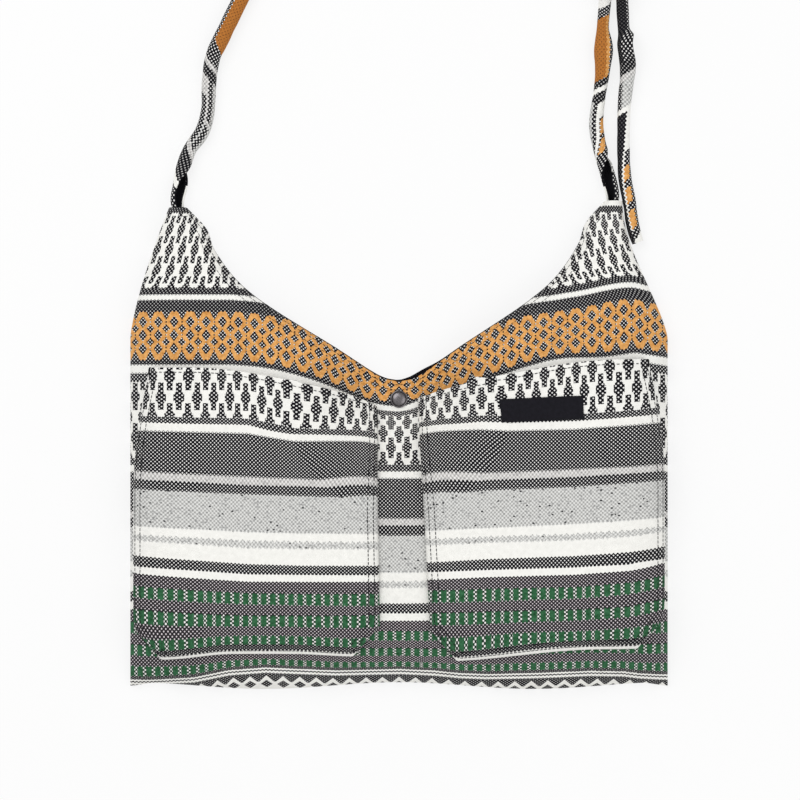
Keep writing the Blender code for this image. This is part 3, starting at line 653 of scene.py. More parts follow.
@dataclass(frozen=True)
class WovenRibbon(Finish):
    """Fine black woven ribbon of the label: satin weft lines 0.25 mm apart, drawn at 0.8 mm."""

    def build(self) -> bpy.types.Material:
        """Make the material, which reads the piece's own cloth coordinates, and return it."""
        material, plane, u, v = self.begin("UV")
        lines = v.wave(0.8) * 0.5 + u.wave(1.1) * 0.25
        inputs = {"Vector": plane, "Scale": 300.0, "Detail": 3.0}
        wear = add_node(material.node_tree, "TexNoise", inputs)
        shade = (Field(wear.outputs["Fac"]) * 0.8 + lines * 0.15).mixed("0E0D12", "23222A")
        satin = {"Roughness": 0.7, "Specular IOR Level": 0.1, "Sheen Weight": 0.02}
        return self.end(material, shade, lines, (0.35, 0.00015), satin)


@dataclass(frozen=True)
class Gunmetal(Finish):
    """Brass snap plated in dark gunmetal: satin, grained 0.6 mm wide, with painted highlight on its crown.
    """

    def build(self) -> bpy.types.Material:
        """Make the material, which reads Object coordinates, and return it."""
        material, place, _, _ = self.begin("Object")
        tree = material.node_tree
        noise = add_node(tree, "TexNoise", {"Vector": place, "Scale": 900.0, "Detail": 4.0})
        grain = Field(noise.outputs["Fac"])
        # Painted highlight and shade: lighter where the cap faces straight up, darker on its tilted flanks.
        normal = add_node(tree, "SeparateXYZ", {0: place.node.outputs["Normal"]})
        painted_flank_shade = (Field(normal.outputs["Z"]) - 1.0) * 1.8
        shade = (painted_flank_shade + grain * 0.4 + 0.35).most(0.0).mixed("1C1A1C", "A09B9E")
        satin = {"Metallic": 1.0, "Roughness": grain * 0.2 + 0.18}
        return self.end(material, shade, grain, (0.12, 0.0001), satin)


def woven(text: str) -> tuple[tuple[Any, ...], ...]:
    """Rows read from text: edges in millimetres of cloth, then the weave's name."""
    rows = (item.split() for item in text.split(","))
    return tuple((*map(float, row[:-1]), Weave[row[-1]]) for row in rows)


# Each band: its upper edge along the cloth, and its weave.
BODY_BANDS = woven("""
    -3.5 ZIGZAG, -0.9 WHITE, 0.6 BLACK, 3.2 WHITE, 9.1 DIM, 16.2 GREEN, 23.9 MOTTLED, 31.7 GREEN,
    40.1 MOTTLED, 48.5 GREEN, 57.8 MOTTLED, 63.8 WHITE, 71.3 CHARCOAL, 82.5 WHITE, 87.8 CLOUDY,
    93.8 WHITE, 120 HEATHER, 126.8 CHARCOAL, 131.3 PALE, 161.3 CHARCOAL, 166.5 WHITE,
    171.8 CHARCOAL, 228.8 LATTICE, 235.5 CHARCOAL, 241.5 WHITE, 245.3 DIM, 281.3 OCHRE, 290.3 DIM,
    294 WHITE, 299.3 DIM, 355.5 HORN_LATTICE, 361 DIM, 380 WHITE
""")
LEFT_STRAP_BANDS = woven("""
    17 WHITE, 33 CHARCOAL, 38 WHITE, 54 DIM, 58 PALE, 75 HEATHER, 111 PALE, 119 DIM, 123 PALE,
    138 CHARCOAL, 200 OCHRE_BACK, 212 CHARCOAL, 222 WHITE, 260 CHARCOAL, 268 PALE, 300 HEATHER,
    310 WHITE, 340 CHARCOAL, 348 WHITE, 400 HORN_LATTICE, 410 CHARCOAL, 450 OCHRE_BACK,
    460 CHARCOAL, 468 WHITE, 520 CHARCOAL, 530 WHITE, 560 HEATHER, 568 CHARCOAL, 590 WHITE,
    2000 CHARCOAL
""")
RIGHT_STRAP_BANDS = woven("""
    14 WHITE, 38 CHARCOAL, 84 WHITE, 93 DIM, 97 WHITE, 103 DIM, 150 OCHRE_BACK, 160 CHARCOAL,
    168 WHITE, 230 CHARCOAL, 240 WHITE, 262 CHARCOAL, 270 WHITE, 371 CHARCOAL, 380 DIM, 385 PALE,
    405 HEATHER, 440 WHITE, 506 CHARCOAL, 2000 WHITE
""")
# Each patch: its lower and upper edge along the cloth, its left and right edge, and its weave.
LEFT_STRAP_PATCHES = woven("""
    37 54 6.6 13 WHITE, 58 77 1.2 6.6 CHARCOAL, 58 77 -4.4 -0.2 CHARCOAL, 58 75 -13 -5.6 HEATHER,
    75 97 1.6 7.4 CHARCOAL, 80 111 -3.8 -0.2 CHARCOAL, 75 111 -13 -4.6 HEATHER,
    138 175 3 13 CHARCOAL
""")
RIGHT_STRAP_PATCHES = woven("""
    38 88 3.6 13 HEATHER, 38 84 0.2 3.6 CHARCOAL, 38 72 -13 -2.2 CHARCOAL,
    43 54 -8.5 -3.6 OCHRE_PLAIN, 58 70 -8.5 -3.2 OCHRE_PLAIN, 103 150 -5.2 -2.4 OCHRE_PLAIN,
    103 150 -13 -5.2 CHARCOAL, 385 405 -13 -1 CHARCOAL, 300 371 -13 2.6 BLACK,
    409 520 -13 1.8 BLACK, 409 440 1.8 3.4 CHARCOAL, 440 500 3 4.4 WHITE,
    452 463 4.4 9 OCHRE_PLAIN, 469 480 4.4 9 OCHRE_PLAIN, 486 499 4 9 OCHRE_PLAIN
""")


# ---------------------------------------------------------------- shape of the bag


@dataclass(frozen=True)
class Outline:
    """The bag's outline in plan: wavy base, side seams, V mouth and horns."""

    half_width: float = 0.2025
    shoulder: float = 0.262
    mouth_height: float = 0.229
    reach: tuple[float, float] = (0.1665, 0.1615)
    height: tuple[float, float] = (0.360, 0.365)
    bend: tuple[float, float] = (0.0, 1.0)
    tip_width: float = 0.0138
    base_wave: float = 0.0025
    base_calm: float = 0.02
    tip_share: float = 0.93
    mouth_shape: tuple[tuple[float, float], ...] = (
        (0.00, 0.000), (0.10, 0.035), (0.31, 0.200), (0.60, 0.420),
        (0.76, 0.575), (0.87, 0.755), (0.91, 0.880), (1.00, 1.000),
    )

    def tip(self, side: Side) -> tuple[float, float]:
        """Reach from the middle line and height over the base of a horn's tip."""
        own = side is Side.RIGHT
        return self.reach[own], self.height[own]

    def mouth_edge(self, side: Side, rise: float = 0.0) -> Array:
        """Dense points, as reach and height, of one side of the mouth's edge with its middle raised."""
        reach, height = self.tip(side)
        foot = self.mouth_height + rise
        shape = smooth_curve(self.mouth_shape)
        across = (reach - self.tip_width / 2) * shape[:, 0]
        return np.column_stack([across, foot + (height - foot) * shape[:, 1]])

    def side_edge(self, side: Side, heights: Array) -> Array:
        """Reach of the side seam at heights: straight, then leaning in to the horn's tip."""
        reach, height = self.tip(side)
        share = np.clip((heights - self.shoulder) / (height - self.shoulder), 0, 1)
        bend = self.bend[side is Side.RIGHT]
        lean = (1 - bend) * share ** 1.35 + bend * np.sin(math.pi / 2 * share ** 1.3)
        return self.half_width - (self.half_width - reach - self.tip_width / 2) * lean

    def base_edge(self, x: Array) -> Array:
        """Height of the base seam: a cosine wave that dies out at the corners."""
        calm = ease((self.half_width - abs(x)) / self.base_calm)
        return self.base_wave * np.cos(2 * math.pi * x / self.half_width) * calm

    def plan(self, columns: Array, rows: Array, rise: float = 0.0) -> Array:
        """Plan points of a Coons patch between base, mouth and side seams.

        Each point is the sum of the points ruled between base and mouth and between the two side
        seams, less the points ruled between the four corners.

        Args:
            columns: shares from -1 to 1 across.
            rows: shares from 0 to 1 up.
            rise: how far the mouth's lowest point is raised.

        Returns:
            Columns by rows by two.
        """
        u, v = np.asarray(columns, float), np.asarray(rows, float)[None, :, None]
        top = np.zeros((len(u), 2))
        for side in Side:
            own = u < 0 if side is Side.LEFT else u >= 0
            edge = along(self.mouth_edge(side, rise), np.minimum(abs(u[own]) / self.tip_share, 1))
            beyond = np.clip((abs(u[own]) - self.tip_share) / (1 - self.tip_share), 0, 1)
            reach = edge[:, 0] + beyond * self.tip_width
            top[own] = np.column_stack([side.value * reach, edge[:, 1]])
        foot = np.column_stack([self.half_width * u, self.base_edge(self.half_width * u)])[:, None]
        patch = (1 - v) * foot + v * top[:, None]
        for side in Side:
            weight = ((1 + side.value * u) / 2)[:, None, None]
            height = self.tip(side)[1]
            seam = np.concatenate([side.value * self.side_edge(side, v * height), v * height], axis=-1)
            low = np.array([side.value * self.half_width, 0.0])
            high = np.array([side.value * self.side_edge(side, np.array(height)), height])
            patch = patch + weight * (seam - (1 - v) * low - v * high)
        return patch


@dataclass(frozen=True)
class Crown:
    """Height of the front panel over the floor, from its lightly stuffed body to its thin horns."""

    outline: Outline
    seat: float = 0.0029
    depth: float = 0.036
    horn_depth: float = 0.0162
    side_round: float = 0.055
    base_round: float = 0.050
    mouth_round: float = 0.045
    gape: float = 0.016
    snap_height: float = 0.216
    snap_top: float = 0.0088
    snap_flat: float = 0.01452
    snap_dimple: float = 0.070
    horn_fold: float = 0.0013
    base_fold: float = 0.0012
    slump: float = 0.0016

    def distances(self, x: Array, y: Array) -> tuple[Array, ...]:
        """Distances in plan from side seam, base and mouth, the share of reach and the tip's height.

        The distance to the mouth is that of the corner cut off by the edge's level and upright
        distances: their product over their hypotenuse.

        Args:
            x: places across.
            y: places up.

        Returns:
            The five arrays.
        """
        outline, found = self.outline, []
        for side in Side:
            reach, height = outline.tip(side)
            out = side.value * x
            edge = outline.mouth_edge(side)
            corner = reach - outline.tip_width / 2
            beyond = np.append(edge[:, 0], corner + 0.05)
            level = np.interp(out, beyond, np.append(edge[:, 1], height + 1.0))
            above = np.maximum(level - y, 0)
            low = outline.mouth_height - 0.001
            inward = np.interp(y, np.append(low, edge[:, 1]), np.append(-1.0, edge[:, 0]))
            beside = np.maximum(out - inward, 0)
            mouth = above * beside / np.maximum(np.hypot(above, beside), 1e-9)
            seam = np.maximum(outline.side_edge(side, y) - out, 0)
            found.append((seam, mouth, np.clip(out / corner, 0, 1), np.full_like(x, height)))
        seam, mouth, share, height = (np.where(x > 0, b, a) for a, b in zip(*found))
        return seam, np.maximum(y - outline.base_edge(x), 0), mouth, share, height

    def folds(self, x: Array, y: Array) -> Array:
        """Soft folds: gathers that fan from the horns, waves at the base and a slump in the middle."""
        wave = np.cos(4 * math.pi * x / self.outline.half_width)
        total = self.base_fold * wave * np.exp(-(y / 0.045) ** 2)
        total = total - self.slump * np.exp(-(x / 0.045) ** 2) * ease((self.snap_height - y) / 0.05)
        for side in Side:
            reach, height = self.outline.tip(side)
            across, down = side.value * x - reach, np.maximum(height - y, 1e-6)
            angle, radius = np.arctan2(across, down), np.hypot(across, down)
            near = np.exp(-((radius - 0.085) / 0.045) ** 2)
            total = total + self.horn_fold * np.cos(11 * angle + 0.6) * near
        return total

    def height(self, x: Array, y: Array) -> Array:
        """Height of the outer face over the floor.

        The depth is multiplied by quarter rounds of the distances to the seams and the mouth, the
        folds are added, and the cloth is drawn down to the snap.

        Args:
            x: places across.
            y: places up.

        Returns:
            The heights.
        """
        seam, base, mouth, share, height = self.distances(x, y)
        depth = self.depth + (self.horn_depth - self.depth) * ease((y - 0.22) / (height - 0.22))
        closing = ease((y - 0.20) / (height - 0.20))
        half_tip = self.outline.tip_width / 2
        side_round = self.side_round + (half_tip - self.side_round) * closing
        mouth_round = self.mouth_round + (half_tip - self.mouth_round) * closing
        gape = self.gape * np.sin(math.pi * np.clip(share / 0.92, 0, 1))
        gape = gape + self.snap_top * (1 - ease(share / 0.5))
        lip = np.clip(gape / depth, 0, 1)
        swell = quarter(seam / side_round) * quarter(base / self.base_round)
        raw = depth * swell * (lip + (1 - lip) * quarter(mouth / mouth_round))
        raw = raw + self.folds(x, y) * ease(raw / 0.02)
        free = ease((np.hypot(x, y - self.snap_height) - self.snap_flat) / self.snap_dimple)
        pressed = self.snap_top - self.seat
        return self.seat + pressed + (raw - pressed) * free

    def normal(self, x: Array, y: Array, step: float = 0.0004) -> Array:
        """Unit normals of the outer face from differences of height over a small step."""
        slope_x = (self.height(x + step, y) - self.height(x - step, y)) / (2 * step)
        slope_y = (self.height(x, y + step) - self.height(x, y - step)) / (2 * step)
        return unit(np.stack([-slope_x, -slope_y, np.ones_like(x)], axis=-1))

    def lifted(self, x: Array, y: Array, offset: Any) -> Array:
        """Points off the outer face by a distance along its normals."""
        points = np.stack([x, y, self.height(x, y)], axis=-1)
        return points + self.normal(x, y) * np.broadcast_to(offset, x.shape)[..., None]


# ---------------------------------------------------------------- lie of the cloth


@dataclass(frozen=True)
class ClothLie:
    """Where each point of the bag lies on its flat woven cloth, so that the bands sag as they do.

    A table's rows are a place and its value in metres, or a share. band_heights holds the bands'
    edges along the cloth in millimetres, and a pocket's heights are where those edges lie over the
    base at each of its columns.
    """

    base_line: tuple[tuple[float, float], ...] = (
        (-0.203, 0.0045), (-0.186, 0.0045), (-0.154, 0.0068), (-0.127, 0.0128), (-0.100, 0.0150),
        (-0.047, 0.0124), (0.001, 0.0135), (0.027, 0.0122), (0.046, 0.0102), (0.065, 0.0096),
        (0.107, 0.0108), (0.143, 0.0122), (0.168, 0.0116), (0.181, 0.0098), (0.203, 0.0083),
    )
    sag_rows: tuple[tuple[float, float], ...] = (
        (0.060, 0.0083), (0.086, 0.0076), (0.115, 0.0060), (0.127, 0.0046), (0.160, 0.0046),
        (0.168, 0.0050), (0.180, 0.0068), (0.191, 0.0111), (0.204, 0.0248), (0.208, 0.0281),
        (0.2115, 0.0300), (0.229, 0.0330), (0.290, 0.0345),
    )
    sag_shares: tuple[tuple[float, float], ...] = (
        (0.000, 1.00), (0.0225, 0.94), (0.034, 0.75), (0.060, 0.39), (0.0855, 0.16), (0.105, 0.05),
        (0.125, 0.0),
    )
    snap_pull: tuple[tuple[float, float], ...] = (
        (-0.030, 0.0), (-0.020, -0.0004), (-0.010, 0.0012), (-0.001, 0.0020), (0.007, 0.0004),
        (0.014, -0.0030), (0.030, -0.0030),
    )
    low_lift: tuple[tuple[float, float], ...] = (
        (0.080, 0.0), (0.090, 0.0012), (0.100, 0.0022), (0.113, 0.0042), (0.125, 0.0050),
        (0.150, 0.0056), (0.165, 0.0072), (0.176, 0.0088), (0.186, 0.0076), (0.2025, 0.0054),
    )
    high_lift: tuple[tuple[float, float], ...] = (
        (0.108, 0.0), (0.119, 0.0006), (0.130, 0.0020), (0.142, 0.0042), (0.154, 0.0068),
        (0.166, 0.0088), (0.176, 0.0092), (0.186, 0.0072), (0.2025, 0.0045),
    )
    wrap_rows: tuple[tuple[float, float], ...] = (
        (0.0020, 0.03), (0.0063, 0.25), (0.0108, 0.46), (0.0166, 0.60), (0.0224, 0.77),
        (0.0295, 0.86), (0.0372, 0.96), (0.0502, 1.0),
    )
    band_heights: tuple[float, ...] = (
        1.0, 3.2, 9.1, 16.2, 23.9, 31.7, 40.1, 48.5, 57.8, 63.8, 71.3, 82.5, 87.8, 93.8, 120.0,
        126.8, 131.3, 161.3, 166.5, 171.8, 187.2, 202.5, 217.8, 232.0,
    )
    left_columns: tuple[float, ...] = (0.021, 0.073, 0.112, 0.200)
    left_heights: tuple[tuple[float, ...], ...] = (
        (24.5, 29.7, 33.6, 39.7, 46.5, 54.9, 61.8, 70.7, 79.9, 84.9, 91.6, 103.9, 109.7, 115.5,
         142.4, 148.8, 154.5, 179.8, 183.7, 188.5, 201.0, 216.0, 230.0, 243.0),
        (24.5, 29.7, 33.6, 40.2, 46.6, 54.7, 62.5, 70.8, 79.9, 85.2, 91.8, 104.0, 110.2, 115.8,
         143.9, 151.0, 156.6, 184.0, 189.1, 193.0, 209.5, 223.5, 238.0, 252.0),
        (24.5, 29.7, 33.6, 40.3, 46.8, 54.6, 63.0, 71.3, 80.0, 85.6, 93.0, 104.5, 111.0, 116.8,
         145.2, 151.7, 158.1, 190.4, 196.9, 201.4, 217.0, 232.0, 247.0, 262.0),
        (24.5, 29.7, 33.6, 40.0, 48.7, 59.1, 68.1, 76.5, 86.2, 91.4, 99.4, 110.3, 115.5, 121.3,
         149.1, 156.2, 162.7, 192.8, 199.2, 203.6, 217.5, 233.5, 248.5, 263.0),
    )
    right_columns: tuple[float, ...] = (0.024, 0.065, 0.130, 0.169, 0.192)
    right_heights: tuple[tuple[float, ...], ...] = (
        (24.5, 30.1, 34.2, 42.0, 48.1, 56.5, 64.3, 73.3, 81.3, 87.2, 94.1, 106.8, 111.9, 117.7,
         144.2, 151.3, 157.1, 187.5, 193.3, 197.2, 210.5, 220.0, 231.0, 243.0),
        (24.5, 30.1, 34.2, 42.3, 48.8, 57.8, 65.5, 74.6, 83.4, 88.8, 96.7, 108.7, 113.9, 119.9,
         148.1, 155.6, 161.0, 192.0, 198.2, 203.0, 216.5, 228.0, 243.0, 258.0),
        (24.5, 30.1, 34.2, 43.0, 51.3, 59.1, 67.5, 75.9, 85.2, 90.7, 99.0, 110.6, 115.8, 122.9,
         150.7, 157.8, 163.6, 193.6, 199.8, 204.3, 222.0, 237.0, 252.0, 267.0),
        (24.5, 30.1, 36.2, 46.0, 53.9, 61.4, 70.7, 79.1, 88.1, 92.7, 101.9, 113.2, 118.4, 125.5,
         153.5, 160.4, 165.5, 196.5, 203.0, 207.5, 224.5, 242.0, 257.0, 272.0),
        (24.5, 30.1, 38.2, 48.8, 58.4, 66.2, 75.2, 83.6, 93.3, 95.9, 105.5, 116.5, 121.0, 127.4,
         155.2, 162.0, 167.2, 198.5, 205.2, 210.1, 226.0, 244.0, 259.0, 274.0),
    )
    base_seam: float = 0.065
    wrap: float = 0.0062
    wrap_start: float = 0.0020
    horn_foot: float = 0.285
    horn_height: float = 0.075

    def sag(self, x: Array, y: Array) -> Array:
        """How much higher up the cloth a place lies: the middle's sag less the right side's lift."""
        middle = read(self.sag_rows, y) * read(smooth_curve(self.sag_shares, 8), abs(x))
        pull = read(self.snap_pull, x) * ease((y - 0.165) / 0.025) * ease((0.222 - y) / 0.010)
        low, high = (read(smooth_curve(table, 8), x) for table in (self.low_lift, self.high_lift))
        lift = (low + (high - low) * ease((y - 0.245) / 0.040)) * (x > 0)
        return middle + pull - lift * ease((y - 0.190) / 0.045) * ease((0.362 - y) / 0.030)

    def body(self, outline: Outline, x: Array, y: Array) -> Array:
        """Cloth coordinates of the front panel.

        Along the cloth, the height is raised by the sag and stretched towards the base line that
        wraps under. Across it, the columns run beside the side seam in the horns and gather there.

        Args:
            outline: the bag's outline.
            x: places across.
            y: places up.

        Returns:
            Coordinates across and along the cloth.
        """
        line = read(self.base_line, x)
        excess = self.sag(x, np.full_like(y, self.base_seam)) + line - self.wrap
        above, start = y - line, self.wrap_start
        low = above + self.wrap + excess * read(self.wrap_rows, above)
        low = np.where(above > start, low, start + (self.wrap + excess * 0.03) * above / start)
        low = np.where(above > 0, low, start + above * 1.5)
        v = np.where(y < self.base_seam, low, y + self.sag(x, y))
        side = np.where(x < 0, -1.0, 1.0)
        seam = np.where(x < 0, outline.side_edge(Side.LEFT, y), outline.side_edge(Side.RIGHT, y))
        up = np.clip((y - self.horn_foot) / self.horn_height, 0, 1.2)
        straight = outline.half_width - (seam - side * x) * (1 + 0.45 * up)
        u = side * (side * x + (straight - side * x) * ease(up / 0.4))
        return np.stack([u, v], axis=-1)

    def pocket(self, side: Side, x: Array, y: Array, foot: Array) -> Array:
        """Cloth coordinates of a patch pocket, whose bands sag towards the middle line.

        Each column's table is read at the height, and the readings are blended across.

        Args:
            side: which pocket.
            x: places across.
            y: places up.
            foot: height of the pocket's foot below each place.

        Returns:
            Coordinates across and along the cloth.
        """
        columns, heights = self.left_columns, self.left_heights
        if side is Side.RIGHT:
            columns, heights = self.right_columns, self.right_heights
        level = (y - (foot - 0.0255) * ease((0.050 - y) / 0.020)) * 1000.0
        readings = np.stack([np.interp(level, row, self.band_heights) for row in heights])
        numbers = np.arange(len(columns))
        place = np.interp(abs(x) + 0.0 * y, columns, numbers)
        shares = np.clip(1 - abs(place - numbers[:, None, None]), 0, 1)
        return np.stack([x + 0.0 * y, (readings * shares).sum(axis=0) / 1000.0], axis=-1)


# ---------------------------------------------------------------- pieces


def dress(piece: bpy.types.Object, material: bpy.types.Material, slot: str, *nodes: str) -> None:
    """Give a piece its material, let it ride on the bag and stand for CAD nodes.

    Args:
        piece: the piece.
        material: its finish.
        slot: not used.
        nodes: the CAD nodes that it replaces.
    """
    piece.data.materials.append(material)
    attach(piece, "root")
    if nodes:
        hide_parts(*nodes)
    log.info("%s: %d faces", piece.name, len(piece.data.polygons))


@dataclass
class Panels:
    """Front and back panels of rug cloth and their black linings."""

    crown: Crown
    lie: ClothLie
    cloth: float = 0.0014
    lining: float = 0.0005
    gap: float = 0.0003
    back_rise: float = 0.0010
    back_lining_foot: float = 0.0025
    front_lining_foot: float = 0.0034
    cloth_grid: tuple[int, int] = (260, 150)
    lining_grid: tuple[int, int] = (180, 110)

    def shares(self, grid: tuple[int, int]) -> tuple[Array, Array]:
        """Column and row shares of a grid, closer together at the seams."""
        t = np.linspace(-1, 1, grid[0])
        return np.sign(t) * (1 - (1 - abs(t)) ** 1.35), np.linspace(0, 1, grid[1]) ** 1.15

    def build(self, cloth: bpy.types.Material, lining: bpy.types.Material) -> None:
        """Make the four plies of rug cloth and black cotton."""
        plan = self.crown.outline.plan(*self.shares(self.cloth_grid))
        x, y = plan[..., 0], plan[..., 1]
        outer, inner = self.crown.lifted(x, y, 0.0), self.crown.lifted(x, y, -self.cloth)
        front = shell("front_cloth", outer, inner, self.lie.body(self.crown.outline, x, y))
        dress(front, cloth, "rug_cloth", "front_panel")
        self.build_back(cloth, lining)
        self.build_front_lining(lining)

    def flat_ply(
        self, name: str, plan: Array, y: Array, foot: float, ply: float, cloth: Array
    ) -> bpy.types.Object:
        """A flat ply.

        Args:
            name: the object's name.
            plan: plan points of its grid.
            y: their places up, where these differ.
            foot: height of its lower face.
            ply: its thickness.
            cloth: its cloth coordinates.

        Returns:
            The linked object.
        """
        levels = (foot + ply, foot)
        faces = (np.stack([plan[..., 0], y, np.full_like(y, level)], axis=-1) for level in levels)
        return shell(name, *faces, cloth)

    def build_back(self, cloth: bpy.types.Material, lining: bpy.types.Material) -> None:
        """The back panel, flat on the floor, and its lining, whose edge rises beside the snap."""
        outline = self.crown.outline
        plan = outline.plan(*self.shares(self.cloth_grid), self.back_rise)
        lie = self.lie.body(outline, plan[..., 0], plan[..., 1])
        back = self.flat_ply("back_cloth", plan, plan[..., 1], 0.0, self.cloth, lie)
        dress(back, cloth, "rug_cloth", "back_panel")
        columns, rows = self.shares(self.lining_grid)
        plan = outline.plan(columns * 0.985, 0.012 + rows * 0.9875, self.back_rise)
        beside_snap = np.exp(-((plan[..., 0] - 0.016) / 0.011) ** 2)
        y = plan[..., 1] + 0.0024 * beside_snap * ease((rows - 0.9) / 0.1)
        piece = self.flat_ply("back_lining_cloth", plan, y, self.back_lining_foot, self.lining, plan)
        dress(piece, lining, "black_lining", "back_lining")

    def build_front_lining(self, lining: bpy.types.Material) -> None:
        """The front lining, a seam's gap inside the front panel and never under its foot."""
        columns, rows = self.shares(self.lining_grid)
        plan = self.crown.outline.plan(columns * (1 - 0.012), 0.015 + rows * 0.983)
        faces = []
        for inwards, foot in ((0.0, self.lining), (self.lining, 0.0)):
            grid = self.crown.lifted(plan[..., 0], plan[..., 1], -self.cloth - self.gap - inwards)
            grid[..., 2] = np.maximum(grid[..., 2], self.front_lining_foot + foot)
            faces.append(grid)
        dress(shell("front_lining_cloth", *faces, plan), lining, "black_lining", "front_lining")


@dataclass
class PatchPocket:
    """A patch pocket with a folded hem and cut-off corners, sewn to the front panel.

    across and up are shares of its width, from the middle line outwards, and of its height. A
    stitch is its length and its thread's radius.
    """

    side: Side
    crown: Crown
    lie: ClothLie
    foot_reach: float
    mouth_reach: float
    mouth_height: float
    mouth_bend: float
    cloth: float = 0.0014
    seat: float = 0.0013
    gape: float = 0.0075
    edge_round: float = 0.024
    outer_reach: float = 0.1965
    taper: float = 0.0125
    foot: float = 0.0265
    mouth_rise: float = 0.029
    corner_width: float = 0.020
    corner_height: float = 0.022
    hem_width: float = 0.009
    hem_ply: float = 0.0007
    seams: tuple[float, float] = (0.0036, 0.0080)
    mouth_seam: float = 0.0034
    stitch: tuple[float, float] = (0.0027, 0.00032)
    tack_stitch: tuple[float, float] = (0.0023, 0.00030)
    grid: tuple[int, int] = (150, 170)

    @property
    def name(self) -> str:
        """The CAD node's name."""
        return f"{self.side.name.lower()}_pocket"

    def inner_edge(self, up: Array) -> Array:
        """Reach of the edge beside the middle line."""
        return self.foot_reach + (self.mouth_reach - self.foot_reach) * up

    def outer_edge(self, up: Array) -> Array:
        """Reach of the edge beside the side seam."""
        return self.outer_reach - self.taper * np.clip((up - 0.5) / 0.5, 0, 1) ** 2

    def mouth_line(self, across: Array) -> Array:
        """Height of the mouth, rising away from the middle line."""
        return self.mouth_height + self.mouth_rise * (1 - (1 - across) ** self.mouth_bend)

    def hem_line(self, across: Array) -> Array:
        """Height of the foot's folded edge, which dips and rises as the cloth slumps."""
        if self.side is Side.LEFT:
            dip = 0.0045 * ease((across - 0.60) / 0.32)
            return self.foot - dip - 0.0016 * ease((0.35 - across) / 0.25)
        return self.foot - 0.0050 + 0.0085 * ease((across - 0.05) / 0.70)

    def foot_line(self, across: Array) -> Array:
        """Height of the foot, with both corners cut off."""
        cut = self.corner_width / (self.outer_reach - self.foot_reach)
        corner = np.clip(1 - np.minimum(across, 1 - across) / cut, 0, 1)
        return self.hem_line(across) + self.corner_height * corner

    def shares(self, x: Array, y: Array) -> tuple[Array, Array]:
        """Shares of the width and the height at points in plan, found by four rounds of correction."""
        reach = self.side.value * x
        across = up = np.full_like(reach, 0.5)
        for _ in range(4):
            foot = self.foot_line(across)
            up = (y - foot) / (self.mouth_line(across) - foot)
            inner = self.inner_edge(up)
            across = np.clip((reach - inner) / (self.outer_edge(up) - inner), 0, 1)
        return across, np.clip(up, 0, 1)

    def stand_off(self, across: Array, up: Array) -> Array:
        """Distance of the outer face from the front panel: seat, ply, swell and the hem's fold."""
        width = self.outer_reach - self.foot_reach
        tall = self.mouth_line(across) - self.foot_line(across)
        sides = quarter(across * width / self.edge_round)
        sides = sides * quarter((1 - across) * width / self.edge_round)
        swell = self.gape * sides * quarter(up * tall / self.edge_round)
        within = self.hem_width + self.hem_ply - (1 - up) * tall
        hem = self.hem_ply * ease(within / (2 * self.hem_ply))
        edge = np.minimum(np.minimum(across, 1 - across) * width, np.minimum(up, 1 - up) * tall)
        rolled = 0.0007 * (1 - quarter(edge / 0.0016))
        return self.seat + self.cloth + swell + hem - rolled

    def plan(self, across: Array, up: Array) -> tuple[Array, Array]:
        """Plan points at shares of the width and height."""
        foot = self.foot_line(across)
        y = foot + (self.mouth_line(across) - foot) * up
        inner = self.inner_edge(up)
        return self.side.value * (inner + (self.outer_edge(up) - inner) * across), y

    def surface(self, x: Array, y: Array, lift: Any) -> Array:
        """Points over the pocket's outer face at places in plan."""
        return self.crown.lifted(x, y, self.stand_off(*self.shares(x, y)) + lift)

    def build(self, cloth: bpy.types.Material, thread: bpy.types.Material) -> None:
        """Make the pocket of rug cloth, its stitches and its bar tack.

        The grid's shares are t - 0.4 sin(2 pi t) / (2 pi), closer together at the edges. Near the
        mouth the cloth is read at the height to which the crown lifts it.
        """
        t, s = (np.linspace(0, 1, count) for count in self.grid)
        across, up = (k - 0.4 * np.sin(2 * math.pi * k) / (2 * math.pi) for k in (t[:, None], s[None]))
        x, y = self.plan(across, up)
        off = self.stand_off(across + 0 * up, up + 0 * across)
        outer, inner = self.crown.lifted(x, y, off), self.crown.lifted(x, y, off - self.cloth)
        risen = y + (outer[..., 1] - y) * ease((up - 0.92) / 0.08)
        grids = (outer, inner, self.lie.pocket(self.side, x, risen, self.hem_line(across + 0 * up)))
        if self.side is Side.LEFT:
            grids = tuple(grid[::-1] for grid in grids)
        dress(shell(f"{self.name}_cloth", *grids), cloth, "rug_cloth", self.name)
        self.sew(thread)
        self.tack(thread)

    def sew(self, thread: bpy.types.Material) -> None:
        """Two rows of stitches inside the sewn edges, and one under the mouth."""
        even = np.linspace(0, 1, 60)
        full, none = np.ones_like(even), np.zeros_like(even)
        inner = np.column_stack(self.plan(none, even[::-1]))
        foot = np.column_stack(self.plan(np.linspace(0, 1, 240), np.zeros(240)))
        outer = np.column_stack(self.plan(full, even))
        path = smooth_curve(np.vstack([inner, foot[1:], outer[1:]])[::4], 4)
        mouth = np.column_stack(self.plan(even[::-1], full))
        lines, normals = [], []
        for edge, distance in (*((path, seam) for seam in self.seams), (mouth, self.mouth_seam)):
            x, y = stitch_places(edge, self.side.value * distance, (0.002, 0.998), 400).T
            lines.append(self.surface(x, y, 0.0001))
            normals.append(self.crown.normal(x, y))
        piece = thread_rows(f"{self.name}_stitches", lines, normals, *self.stitch)
        dress(piece, thread, "black_thread")

